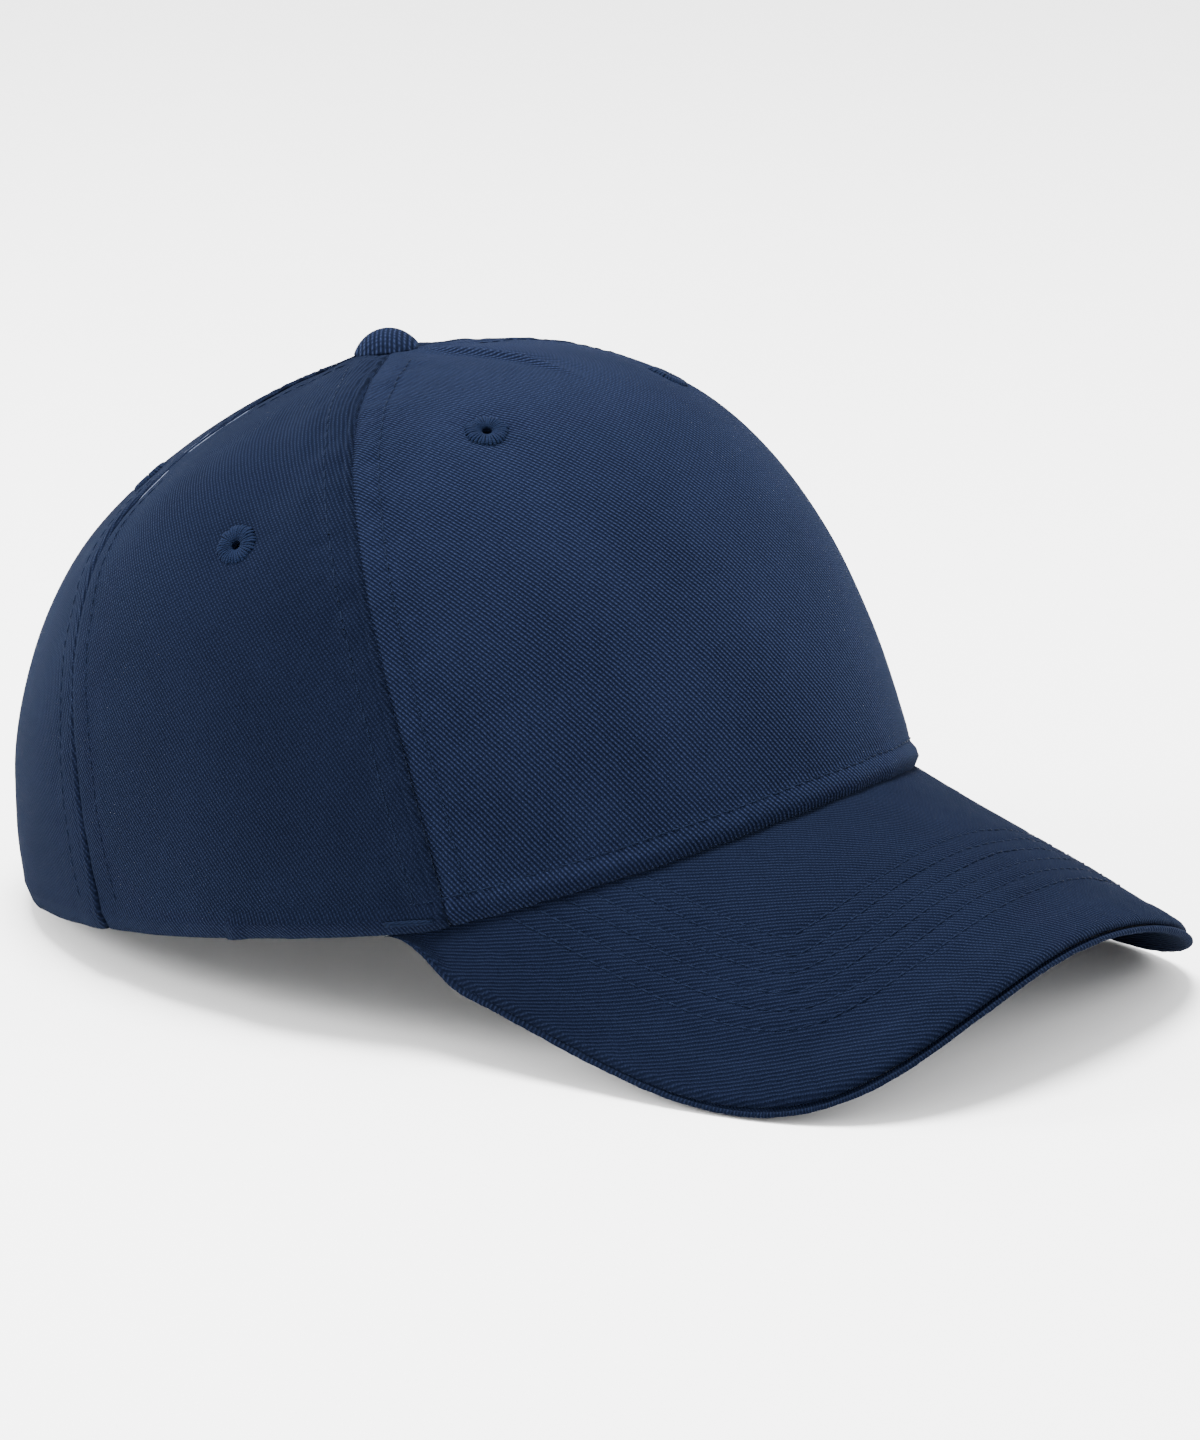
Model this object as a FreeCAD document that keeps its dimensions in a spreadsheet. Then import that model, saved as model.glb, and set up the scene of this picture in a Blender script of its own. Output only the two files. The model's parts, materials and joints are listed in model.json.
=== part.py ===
import FreeCAD, Part
import math
import os

# A five-panel baseball cap: structured crown, curved visor, covered button, sewn eyelets,
# sweatband, and a rear opening closed by a strap with a cam-lever buckle.
#
# The cap is drawn in its own frame first: the head opening lies in the XY plane, the
# visor points along -Y and +Z goes up to the button.  The last step leans the whole cap
# back until it stands on the visor's side edges and the corners of the rear opening.

V = FreeCAD.Vector

SIZES = [
    # alias, value (mm or degrees), meaning
    ("crown_half_width", 85.5, "half width of the head opening, outside"),
    ("crown_front_depth", 96.4, "head opening, widest line to front"),
    ("crown_back_depth", 108.7, "head opening, widest line to back"),
    ("crown_height", 106.2, "opening plane to top of crown"),
    ("button_setback", 10.2, "button axis behind the widest line"),
    ("setback_power", 0.84, "how early the sections drift back as they rise"),
    ("front_round", 3.594, "plan exponent of the front profile"),
    ("front_rise", 1.722, "height exponent of the front profile"),
    ("side_round", 2.669, "plan exponent of the side profile"),
    ("side_rise", 3.139, "height exponent of the side profile"),
    ("back_round", 1.801, "plan exponent of the back profile"),
    ("back_rise", 1.809, "height exponent of the back profile"),
    ("crown_belly", 0.007, "outward belly at half height, share of the radius"),
    ("front_seam_angle", 61.5, "front to side seam at the opening, degrees from front"),
    ("front_seam_sweep", 6.3, "degrees that this seam swings back on its way up"),
    ("back_seam_angle", 113.2, "side to back seam at the opening, degrees from front"),
    ("back_seam_sweep", 43.7, "degrees that this seam swings back on its way up"),
    ("seam_power", 2.1, "how late the seams swing"),
    ("twill_thickness", 0.9, "crown fabric with its seam allowances pressed"),
    ("buckram_thickness", 0.7, "stiffener behind the front panel"),
    ("buckram_margin", 8.0, "stiffener edge to front seam"),
    ("tape_thickness", 0.6, "seam tape"),
    ("tape_width", 12.0, "seam tape"),
    ("arch_height", 10.8, "how far the crown's front edge arches over the visor"),
    ("arch_half_width", 77.5, "half width of that arch"),
    ("visor_length", 52.7, "visor reach in front of the crown, level"),
    ("visor_drop", 28.25, "visor tip below its middle at the crown"),
    ("visor_bend_radius", 80.3, "bend of the visor's outer edge, seen from the front"),
    ("visor_edge_pitch", 35.2, "slope of the outer edge from front to sides, degrees"),
    ("visor_corner_angle", 70.0, "where the visor ends on the crown, degrees from front"),
    ("visor_side_run", 75.4, "straightness of the visor's side edge"),
    ("visor_side_toe", 4.75, "inward lean of that side edge, degrees"),
    ("visor_front_run", 84.2, "flatness of the visor's front edge"),
    ("visor_hump", 1.93, "rise of the visor's middle over a straight line"),
    ("visor_cover_thickness", 0.7, "cloth over and under the board"),
    ("visor_board_thickness", 1.8, "plastic board"),
    ("visor_board_margin", 1.5, "board edge to visor edge"),
    ("seam_gap", 0.1, "clearance between pieces that are sewn together"),
    ("layer_ease", 0.05, "room between layers sewn face to face"),
    ("button_diameter", 13.5, "covered button"),
    ("button_height", 4.4, "covered button"),
    ("button_cover_thickness", 0.8, "cloth on the button"),
    ("button_shell_thickness", 0.5, "metal dome under the cloth"),
    ("rivet_diameter", 2.4, "button post"),
    ("rivet_foot_diameter", 4.0, "clinched end of the button post"),
    ("washer_diameter", 10.0, "clinch washer inside the crown"),
    ("washer_thickness", 0.6, "clinch washer"),
    ("eyelet_diameter", 9.4, "embroidered ring"),
    ("eyelet_hole", 2.2, "air hole in the ring"),
    ("eyelet_proud", 0.35, "ring above and below the cloth"),
    ("front_eyelet_angle", 36.0, "degrees from front"),
    ("front_eyelet_rise", 0.66, "share of the way up the profile"),
    ("side_eyelet_angle", 83.7, "degrees from front"),
    ("side_eyelet_rise", 0.475, "share of the way up the profile"),
    ("back_eyelet_angle", 148.0, "degrees from front"),
    ("back_eyelet_rise", 0.58, "share of the way up the profile"),
    ("band_height", 33.0, "sweatband"),
    ("band_padding", 0.9, "sweatband backing"),
    ("band_facing", 0.7, "sweatband cloth against the head"),
    ("band_front_inset", 2.4, "sweatband inside the crown surface, front"),
    ("band_side_inset", 4.0, "sweatband inside the crown surface, sides"),
    ("band_back_inset", 8.0, "sweatband inside the crown surface, back"),
    ("label_width", 24.0, "blank size label"),
    ("label_height", 14.0, "blank size label"),
    ("label_thickness", 0.4, "blank size label"),
    ("opening_half_width", 40.0, "rear opening"),
    ("opening_straight", 9.0, "height of the opening's upright sides"),
    ("binding_width", 8.0, "facing tape round the rear opening"),
    ("strap_thickness", 1.5, "two layers of twill"),
    ("strap_width", 18.0, "strap"),
    ("strap_bottom", 2.2, "strap above the opening plane"),
    ("strap_inset", 2.3, "strap inside the crown surface"),
    ("strap_fit_share", 0.6433, "half width share where the strap meets the crown again"),
    ("strap_fit_angle", 49.7, "degrees from back of that place, for the angles below"),
    ("strap_start", -52.0, "hidden sewn end, degrees from back, + to wearer's left"),
    ("strap_end", 46.0, "free tail end, degrees from back"),
    ("strap_clearance", 0.35, "running clearance round the strap"),
    ("plate_thickness", 1.0, "buckle back plate"),
    ("plate_start", 5.5, "buckle plate, degrees from back"),
    ("plate_end", 29.0, "buckle plate, degrees from back"),
    ("slot_start", 24.6, "slot for the fabric tab"),
    ("slot_end", 27.2, "slot for the fabric tab"),
    ("ear_thickness", 1.2, "buckle side ears"),
    ("pin_diameter", 1.5, "buckle hinge pin"),
    ("pin_angle", 22.0, "hinge pin, degrees from back"),
    ("pin_head_diameter", 2.2, "peened end of the hinge pin"),
    ("pin_head_height", 0.5, "peened end of the hinge pin"),
    ("hole_clearance", 0.05, "clearance round the pin, the post and the eyelets"),
    ("barrel_diameter", 3.0, "rolled barrel of the lever"),
    ("lever_thickness", 1.0, "lever"),
    ("lever_tip", 4.5, "lever's free end, degrees from back"),
    ("lever_side_gap", 0.25, "lever to ears"),
    ("tab_thickness", 0.8, "one layer of the fabric tab"),
    ("tab_end", 44.0, "sewn end of the tab, degrees from back"),
    ("tab_margin", 1.0, "tab narrower than the strap, each edge"),
    ("rest_tilt", 9.9, "lean of the cap as it stands, degrees"),
]

HALF_TURN = 180.0
TOP_RISE = 0.995            # where the panels end, hidden under the button
LINING_TOP_RISE = 0.93      # where the stiffener and most tapes end
SIDE_TAPE_TOP_RISE = 0.8    # the side tapes end short of the centre back tape
SHEET_LINES = 17            # grid lines each way in an ordinary curved sheet
LONG_SHEET_LINES = 49       # grid lines along the sweatband
VISOR_LINES = 65            # grid lines from one visor corner to the other
BAND_LINES = 7              # grid lines across a narrow sheet
VISOR_END = 0.985           # share of its half width at which the visor is cut off square
EDGE_BLEND = 0.12           # share over which the visor's edge comes up to the corner

doc = FreeCAD.newDocument("BaseballCap")
sheet = doc.addObject("Spreadsheet::Sheet", "Sizes")
for row, (alias, value, meaning) in enumerate(SIZES, start=1):
    sheet.set(f"A{row}", alias)
    sheet.set(f"B{row}", str(value))
    sheet.set(f"C{row}", meaning)
    sheet.setAlias(f"B{row}", alias)
doc.recompute()

sub_parts = []


def size(alias):
    """A driving dimension as a number, for the formula-made shapes."""
    return float(sheet.get(alias))


def cell(alias):
    """A driving dimension as it is written in an expression."""
    return f"Sizes.{alias}"


def feature(name, shape):
    """A helper object whose shape comes from a formula."""
    made = doc.addObject("Part::Feature", name)
    made.Shape = shape
    return made


def cut(name, base, tool):
    made = doc.addObject("Part::Cut", name)
    made.Base = base
    made.Tool = tool
    return made


def common(name, *shapes):
    made = doc.addObject("Part::MultiCommon", name)
    made.Shapes = list(shapes)
    return made


def fuse(name, *shapes):
    made = doc.addObject("Part::MultiFuse", name)
    made.Shapes = list(shapes)
    return made


def sub_part(label, made):
    """Registers a finished piece under the name that its node and file get."""
    made.Label = label
    sub_parts.append(made)
    return made


# --- Crown surface ---------------------------------------------------------------------

class Inset:
    """How far a layer lies inside the crown's outer surface, by direction."""

    def __init__(self, front, side, back, top):
        self.front = front
        self.side = side
        self.back = back
        self.top = top


def layer(depth):
    return Inset(depth, depth, depth, depth)


def crown_point(angle, rise, inset):
    """A point of the crown: angle in degrees from the front, + to the wearer's left;
    rise 0 at the head opening and 1 at the button, evenly along the profile."""
    share = math.sin(math.radians(90.0 * rise)) ** 0.75
    belly = 1.0 + size("crown_belly") * 4.0 * share * (1.0 - share)

    def radius(profile):
        flat = max(1.0 - share ** size(f"{profile}_rise"), 0.0)
        return flat ** (1.0 / size(f"{profile}_round")) * belly

    forward = math.cos(math.radians(angle))
    if forward > 0.0:
        depth = (size("crown_front_depth") - inset.front) * radius("front")
    else:
        depth = (size("crown_back_depth") - inset.back) * radius("back")
    width = (size("crown_half_width") - inset.side) * radius("side")
    drift = size("button_setback") * share ** size("setback_power")
    return V(width * math.sin(math.radians(angle)),
             drift - depth * forward,
             (size("crown_height") - inset.top) * share)


def crown_normal(angle, rise):
    """The outward direction of the crown surface."""
    step = 0.5
    small = 0.004
    across = crown_point(angle + step, rise, layer(0)) - crown_point(angle - step, rise, layer(0))
    up = crown_point(angle, rise + small, layer(0)) - crown_point(angle, rise - small, layer(0))
    return across.cross(up).normalize()


def rise_at_height(height):
    """The rise of the crown surface at a height above the head opening."""
    share = height / size("crown_height")
    return math.degrees(math.asin(share ** (1.0 / 0.75))) / 90.0


def mix(start, end, share):
    return start + (end - start) * share


def sheet_solid(name, point_at, outer_depth, inner_depth, lines_across, lines_up):
    """A curved sheet between two depths.  point_at(across, up, depth) gives its points for
    shares 0 to 1 of its two sides; the edges are closed with ruled faces."""
    skins = []
    for depth in (outer_depth, inner_depth):
        grid = []
        for i in range(lines_across):
            row = []
            for j in range(lines_up):
                row.append(point_at(i / (lines_across - 1), j / (lines_up - 1), depth))
            grid.append(row)
        surface = Part.BSplineSurface()
        surface.interpolate(grid)
        skins.append(surface.toShape())
    faces = list(skins)
    for outer_edge, inner_edge in zip(skins[0].Edges, skins[1].Edges):
        faces.append(Part.makeRuledSurface(outer_edge, inner_edge))
    shell = Part.makeShell(faces)
    shell.sewShape()
    solid = Part.Solid(shell)
    if solid.Volume < 0:
        solid.reverse()
    return feature(name, solid)


def arch_height_at(across):
    """Height of the crown's front edge at a distance from the middle."""
    half = size("arch_half_width")
    top = size("arch_height")
    radius = (half ** 2 + top ** 2) / (2 * top)
    if abs(across) >= half:
        return 0.0
    return top - radius + math.sqrt(radius ** 2 - across ** 2)


def bottom_rise(angle, inset):
    """The rise at which a layer of the crown ends over the visor."""
    if abs(angle) >= 90.0:
        return 0.0
    return rise_at_height(arch_height_at(crown_point(angle, 0.0, inset).x))


class Seam:
    """A seam line of the crown, from the head opening up to the button."""

    def __init__(self, base_angle, sweep, side):
        self.base_angle = base_angle
        self.sweep = sweep
        self.side = side

    def angle(self, rise, shift):
        """Its angle at a rise, moved sideways by a distance, + to the wearer's left."""
        turn = self.side * (self.base_angle + self.sweep * rise ** size("seam_power"))
        point = crown_point(turn, rise, layer(0.0))
        radius = math.hypot(point.x - button_axis.x, point.y - button_axis.y)
        return turn + math.degrees(shift / radius)


def crown_sheet(name, first, last, shifts, outer_depth, inner_depth, rises):
    """A piece of the crown between two seams, each moved sideways by a distance."""
    low, high = rises

    def point_at(across, up, depth):
        inset = layer(depth)
        foot = mix(first.angle(low, shifts[0]), last.angle(low, shifts[1]), across)
        rise = mix(max(low, bottom_rise(foot, inset)), high, up)
        angle = mix(first.angle(rise, shifts[0]), last.angle(rise, shifts[1]), across)
        return crown_point(angle, rise, inset)

    return sheet_solid(name, point_at, outer_depth, inner_depth, SHEET_LINES, SHEET_LINES)


button_axis = crown_point(0.0, 1.0, layer(0.0))
twill_depth = size("twill_thickness")
buckram_depth = twill_depth + size("buckram_thickness")
tape_depth = twill_depth + size("tape_thickness")
lining_depth = twill_depth + size("layer_ease")

SIDES = (("right", -1.0), ("left", 1.0))
front_seams = {}
back_seams = {}
centre_back = {}
for word, side in SIDES:
    front_seams[word] = Seam(size("front_seam_angle"), size("front_seam_sweep"), side)
    back_seams[word] = Seam(size("back_seam_angle"), size("back_seam_sweep"), side)
    centre_back[word] = Seam(HALF_TURN, 0.0, side)


# --- Cutters for the rear opening, the eyelets and the button ---------------------------

def rear_arch(name):
    """The rear opening's outline as a solid along Y."""
    round_part = doc.addObject("Part::Cylinder", f"{name}_round")
    round_part.Placement = FreeCAD.Placement(V(0, 0, 0), FreeCAD.Rotation(V(1, 0, 0), -90))
    round_part.setExpression("Radius", cell("opening_half_width"))
    round_part.setExpression("Height", "2 * Sizes.crown_back_depth")
    round_part.setExpression(".Placement.Base.z", cell("opening_straight"))
    legs = doc.addObject("Part::Box", f"{name}_legs")
    legs.setExpression("Length", "2 * Sizes.opening_half_width")
    legs.setExpression("Width", "2 * Sizes.crown_back_depth")
    legs.setExpression("Height", "Sizes.opening_straight + Sizes.crown_height")
    legs.setExpression(".Placement.Base.x", "-Sizes.opening_half_width")
    legs.setExpression(".Placement.Base.z", "-Sizes.crown_height")
    return fuse(name, round_part, legs)


rear_opening = rear_arch("rear_opening")

EYELETS = []
for place in ("front", "side", "back"):
    for word, side in SIDES:
        EYELETS.append((place, word, side))


def eyelet_placement(place, side):
    angle = side * size(f"{place}_eyelet_angle")
    rise = size(f"{place}_eyelet_rise")
    return FreeCAD.Placement(crown_point(angle, rise, layer(0)),
                             FreeCAD.Rotation(V(0, 0, 1), crown_normal(angle, rise)))


def eyelet_cylinder(name, place, side, radius, start, length):
    """A cylinder along the crown's normal at an eyelet; start is its place on that normal."""
    made = doc.addObject("Part::Cylinder", name)
    frame = eyelet_placement(place, side)
    made.Placement = frame.multiply(FreeCAD.Placement(V(0, 0, start), FreeCAD.Rotation()))
    made.setExpression("Radius", radius)
    made.Height = length
    return made


eyelet_cutters = {}
for place, word, side in EYELETS:
    reach = 4 * buckram_depth
    eyelet_cutters[place, word] = eyelet_cylinder(
        f"eyelet_cut_{place}_{word}", place, side,
        "Sizes.eyelet_diameter / 2 + Sizes.hole_clearance", -reach, 2 * reach)

rivet_hole = doc.addObject("Part::Cylinder", "rivet_hole")
rivet_hole.setExpression("Radius", "Sizes.rivet_diameter / 2 + Sizes.hole_clearance")
rivet_hole.setExpression("Height", "2 * Sizes.crown_height")
rivet_hole.setExpression(".Placement.Base.y", cell("button_setback"))


# --- Crown panels, stiffener and seam tapes ---------------------------------------------

def trimmed(name, base, *tools):
    """A piece with several openings taken out of it."""
    for index, tool in enumerate(tools):
        base = cut(f"{name}_cut_{index}", base, tool)
    return base


half_gap = size("seam_gap") / 2
whole_rise = (0.0, TOP_RISE)
front_sheet = crown_sheet("front_sheet", front_seams["right"], front_seams["left"],
                          (half_gap, -half_gap), 0.0, twill_depth, whole_rise)
sub_part("front_panel", trimmed("front_panel", front_sheet, eyelet_cutters["front", "right"],
                                eyelet_cutters["front", "left"]))

margin = size("buckram_margin")
lining_rise = (0.0, LINING_TOP_RISE)
buckram_sheet = crown_sheet("buckram_sheet", front_seams["right"], front_seams["left"],
                            (margin, -margin), lining_depth, buckram_depth, lining_rise)
sub_part("front_buckram", trimmed("front_buckram", buckram_sheet,
                                  eyelet_cutters["front", "right"],
                                  eyelet_cutters["front", "left"]))

for word, side in SIDES:
    shifts = (side * half_gap, -side * half_gap)
    sheet_piece = crown_sheet(f"side_sheet_{word}", front_seams[word], back_seams[word],
                              shifts, 0.0, twill_depth, whole_rise)
    sub_part(f"side_panel_{word}", trimmed(f"side_panel_{word}", sheet_piece, rivet_hole,
                                           eyelet_cutters["side", word]))
    sheet_piece = crown_sheet(f"back_sheet_{word}", back_seams[word], centre_back[word],
                              shifts, 0.0, twill_depth, whole_rise)
    sub_part(f"back_panel_{word}", trimmed(f"back_panel_{word}", sheet_piece, rivet_hole,
                                           rear_opening, eyelet_cutters["back", word]))


def seam_tape(label, seam, rises):
    """A strip of tape behind a seam."""
    half = size("tape_width") / 2
    sub_part(label, crown_sheet(label, seam, seam, (-half, half), lining_depth, tape_depth,
                                rises))


for word, side in SIDES:
    seam_tape(f"front_seam_tape_{word}", front_seams[word], lining_rise)
    seam_tape(f"side_seam_tape_{word}", back_seams[word], (0.0, SIDE_TAPE_TOP_RISE))
binding_top = size("opening_straight") + size("opening_half_width") + size("binding_width")
seam_tape("centre_back_tape", centre_back["left"],
          (rise_at_height(binding_top + half_gap), LINING_TOP_RISE))


def binding_point(along, out, depth):
    """A point of the facing round the rear opening; along runs from its right foot over the
    top to its left foot, and out from the cut edge to the facing's other edge."""
    radius = size("opening_half_width") + out * size("binding_width")
    leg = size("opening_straight")
    arc = math.pi * size("opening_half_width")
    way = along * (2 * leg + arc)
    if way < leg:
        across, height = -radius, way
    elif way > leg + arc:
        across, height = radius, 2 * leg + arc - way
    else:
        turn = math.pi * (way - leg) / arc
        across, height = -radius * math.cos(turn), leg + radius * math.sin(turn)
    rise = rise_at_height(height)
    half_width = crown_point(90.0, rise, layer(depth)).x
    angle = HALF_TURN - math.degrees(math.asin(across / half_width))
    return crown_point(angle, rise, layer(depth))


sub_part("opening_binding", sheet_solid("opening_binding", binding_point, lining_depth,
                                        tape_depth, LONG_SHEET_LINES, BAND_LINES))


# --- Eyelets ----------------------------------------------------------------------------

for place, word, side in EYELETS:
    name = f"eyelet_{place}_{word}"
    cloth = buckram_depth if place == "front" else twill_depth
    proud = size("eyelet_proud")
    ring = eyelet_cylinder(f"{name}_ring", place, side, "Sizes.eyelet_diameter / 2",
                           -cloth - proud, cloth + 2 * proud)
    hole = eyelet_cylinder(f"{name}_hole", place, side, "Sizes.eyelet_hole / 2",
                           -cloth - 2 * proud, cloth + 4 * proud)
    sub_part(name, cut(name, ring, hole))


# --- Button -----------------------------------------------------------------------------

dome_radius = ("(((Sizes.button_diameter / 2)^2 + Sizes.button_height^2)"
               " / (2 * Sizes.button_height))")
dome_centre = f"(Sizes.crown_height + Sizes.button_height - {dome_radius})"


def dome(name, depth):
    """The button's domed space, inset all round by a depth."""
    ball = doc.addObject("Part::Sphere", f"{name}_ball")
    ball.setExpression("Radius", f"{dome_radius} - ({depth})")
    ball.setExpression(".Placement.Base.y", cell("button_setback"))
    ball.setExpression(".Placement.Base.z", dome_centre)
    above = doc.addObject("Part::Cylinder", f"{name}_above")
    above.setExpression("Radius", cell("button_diameter"))
    above.setExpression("Height", "2 * Sizes.button_height")
    above.setExpression(".Placement.Base.y", cell("button_setback"))
    above.setExpression(".Placement.Base.z", cell("crown_height"))
    return common(name, ball, above)


def axial_cylinder(name, diameter, bottom, height):
    """An upright cylinder on the button axis."""
    made = doc.addObject("Part::Cylinder", name)
    made.setExpression("Radius", f"({diameter}) / 2")
    made.setExpression("Height", height)
    made.setExpression(".Placement.Base.y", cell("button_setback"))
    made.setExpression(".Placement.Base.z", bottom)
    return made


shell_depth = cell("button_cover_thickness")
hollow_depth = f"{shell_depth} + {cell('button_shell_thickness')}"
outer_dome = dome("outer_dome", "0")
shell_dome = dome("shell_dome", shell_depth)
hollow_dome = dome("hollow_dome", hollow_depth)
sub_part("button_cover", cut("button_cover", outer_dome, shell_dome))
sub_part("button_shell", cut("button_shell", shell_dome, hollow_dome))

inner_face = "Sizes.crown_height - Sizes.twill_thickness - Sizes.tape_thickness"
washer_top = f"({inner_face} - Sizes.seam_gap)"
rivet_bottom = f"({washer_top} - 2 * Sizes.washer_thickness)"
hollow_radius = f"({dome_radius} - ({hollow_depth}))"
rivet_top = f"({dome_centre} + sqrt({hollow_radius}^2 - (Sizes.rivet_diameter / 2)^2))"
rivet_post = axial_cylinder("rivet_post", cell("rivet_diameter"), rivet_bottom,
                            f"{rivet_top} - {rivet_bottom}")
rivet_foot = axial_cylinder("rivet_foot", cell("rivet_foot_diameter"), rivet_bottom,
                            cell("washer_thickness"))
sub_part("button_rivet", fuse("button_rivet", rivet_post, rivet_foot))
washer_disc = axial_cylinder("washer_disc", cell("washer_diameter"),
                             f"{washer_top} - Sizes.washer_thickness", cell("washer_thickness"))
sub_part("button_washer", cut("button_washer", washer_disc, rivet_hole))


# --- Sweatband --------------------------------------------------------------------------

def band_inset(depth):
    return Inset(size("band_front_inset") + depth, size("band_side_inset") + depth,
                 size("band_back_inset") + depth, 0.0)


padding_depth = size("band_padding")
facing_depth = padding_depth + size("band_facing")
label_depth = facing_depth + size("label_thickness")
band_end_angle = HALF_TURN - math.degrees(math.asin(
    size("opening_half_width") / (size("crown_half_width") - size("band_side_inset"))))


def band_point(across, up, depth):
    """A point of the sweatband, across from its right end round the front to its left."""
    inset = band_inset(depth)
    angle = mix(-band_end_angle, band_end_angle, across)
    low = bottom_rise(angle, inset)
    return crown_point(angle, mix(low, rise_at_height(size("band_height")), up), inset)


def label_point(across, up, depth):
    """A point of the blank label sewn on the band beside the wearer's left ear."""
    reach = math.degrees(size("label_width") / size("crown_half_width"))
    middle = size("side_eyelet_angle")
    angle = mix(middle - reach / 2, middle + reach / 2, across)
    low = (size("band_height") - size("label_height")) / 2
    return crown_point(angle, rise_at_height(low + size("label_height") * up),
                       band_inset(depth))


sub_part("sweatband_padding", sheet_solid("sweatband_padding", band_point, 0.0, padding_depth,
                                          LONG_SHEET_LINES, BAND_LINES))
ease = size("layer_ease")
sub_part("sweatband_facing", sheet_solid("sweatband_facing", band_point, padding_depth + ease,
                                         facing_depth, LONG_SHEET_LINES, BAND_LINES))
sub_part("size_label", sheet_solid("size_label", label_point, facing_depth + ease, label_depth,
                                   BAND_LINES, BAND_LINES))


# --- Visor ------------------------------------------------------------------------------

def visor_inner(share):
    """Inner edge: along the crown's front edge, share -1 to 1 from corner to corner."""
    angle = share * size("visor_corner_angle")
    edge = layer(twill_depth)
    foot = crown_point(angle, bottom_rise(angle, edge), edge)
    return V(foot.x, foot.y, arch_height_at(foot.x) - size("seam_gap"))


def visor_outer(share):
    """Outer edge: one Bezier curve in plan for each half, bent over a round form."""
    side = -1.0 if share < 0 else 1.0
    corner = visor_inner(side)
    corner.x = abs(corner.x)
    toe = math.radians(size("visor_side_toe"))
    tip = V(0, -(size("crown_front_depth") + size("visor_length")), 0)
    control = [corner,
               corner + V(-math.sin(toe), -math.cos(toe), 0) * size("visor_side_run"),
               tip + V(size("visor_front_run"), 0, 0),
               tip]
    along = 1.0 - abs(share)
    weights = [(1 - along) ** 3, 3 * (1 - along) ** 2 * along,
               3 * (1 - along) * along ** 2, along ** 3]
    plan_x = sum(w * p.x for w, p in zip(weights, control))
    plan_y = sum(w * p.y for w, p in zip(weights, control))
    bend = size("visor_bend_radius")
    sag = bend - math.sqrt(bend ** 2 - min(plan_x, 0.99 * bend) ** 2)
    pitch = math.tan(math.radians(size("visor_edge_pitch")))
    ahead = plan_y + size("crown_front_depth") + size("visor_length")
    height = size("arch_height") - size("visor_drop") - sag + pitch * ahead
    settle = min(along / EDGE_BLEND, 1.0)
    settle = settle ** 2 * (3.0 - 2.0 * settle)
    height = corner.z * (1.0 - settle) + height * settle
    return V(side * plan_x, plan_y, height)


def visor_layer(label, top_depth, bottom_depth, edge_margin):
    """A layer of the visor between two depths under its top surface, stopping a margin
    inside the visor's edge."""
    def point_at(across, along, depth):
        share = VISOR_END * (2.0 * across - 1.0)
        inner = visor_inner(share)
        outer = visor_outer(share)
        out = along * (1.0 - edge_margin / inner.distanceToPoint(outer))
        hump = size("visor_hump") * 4.0 * out * (1.0 - out) * (1.0 - share ** 2)
        return inner + (outer - inner) * out + V(0, 0, hump - depth)

    sub_part(label, sheet_solid(label, point_at, top_depth, bottom_depth, VISOR_LINES,
                                BAND_LINES))


cover = size("visor_cover_thickness")
board = size("visor_board_thickness")
board_margin = size("visor_board_margin")
visor_layer("visor_top_cover", 0.0, cover, 0.0)
visor_layer("visor_board", cover + ease, cover + board - ease, board_margin)
visor_layer("visor_under_cover", cover + board, 2 * cover + board, 0.0)


# --- Strap and buckle: everything runs on arcs round one upright axis --------------------

fit_half_width = "(Sizes.strap_fit_share * Sizes.crown_half_width)"
arc_sag = "(Sizes.crown_back_depth * (1 - sqrt(1 - Sizes.strap_fit_share^2)))"
outline_radius = f"(({fit_half_width}^2 + {arc_sag}^2) / (2 * {arc_sag}))"
arc_centre = f"(Sizes.crown_back_depth - {outline_radius})"
strap_outer = f"({outline_radius} - Sizes.strap_inset)"
strap_inner = f"({strap_outer} - Sizes.strap_thickness)"
plate_outer = f"({strap_inner} - Sizes.strap_clearance)"
plate_inner = f"({plate_outer} - Sizes.plate_thickness)"
strap_top = "(Sizes.strap_bottom + Sizes.strap_width)"
spread = f"(asin({fit_half_width} / {outline_radius}) / (1 deg) / Sizes.strap_fit_angle)"


def ring_sector(name, inner, outer, start, end, bottom, height):
    """Part of a ring round the strap's axis; angles in degrees from the back, spread to
    suit the crown."""
    body = doc.addObject("Part::Cylinder", f"{name}_body")
    body.Placement = FreeCAD.Placement(V(0, 0, 0), FreeCAD.Rotation(V(0, 0, 1), 1))
    body.setExpression("Radius", outer)
    body.setExpression("Height", height)
    body.setExpression("Angle", f"(({end}) - ({start})) * {spread}")
    body.setExpression(".Placement.Base.y", arc_centre)
    body.setExpression(".Placement.Base.z", bottom)
    body.setExpression(".Placement.Rotation.Angle", f"90 - ({end}) * {spread}")
    core = doc.addObject("Part::Cylinder", f"{name}_core")
    core.setExpression("Radius", inner)
    core.setExpression("Height", height)
    core.setExpression(".Placement.Base.y", arc_centre)
    core.setExpression(".Placement.Base.z", bottom)
    return cut(name, body, core)


def hinge_cylinder(name, radius, bottom, height):
    """An upright cylinder on the lever's hinge axis."""
    made = doc.addObject("Part::Cylinder", name)
    made.setExpression("Radius", radius)
    made.setExpression("Height", height)
    turn = f"(Sizes.pin_angle * {spread} * 1 deg)"
    made.setExpression(".Placement.Base.x", f"{hinge_radius} * sin({turn})")
    made.setExpression(".Placement.Base.y", f"{arc_centre} + {hinge_radius} * cos({turn})")
    made.setExpression(".Placement.Base.z", bottom)
    return made


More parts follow.
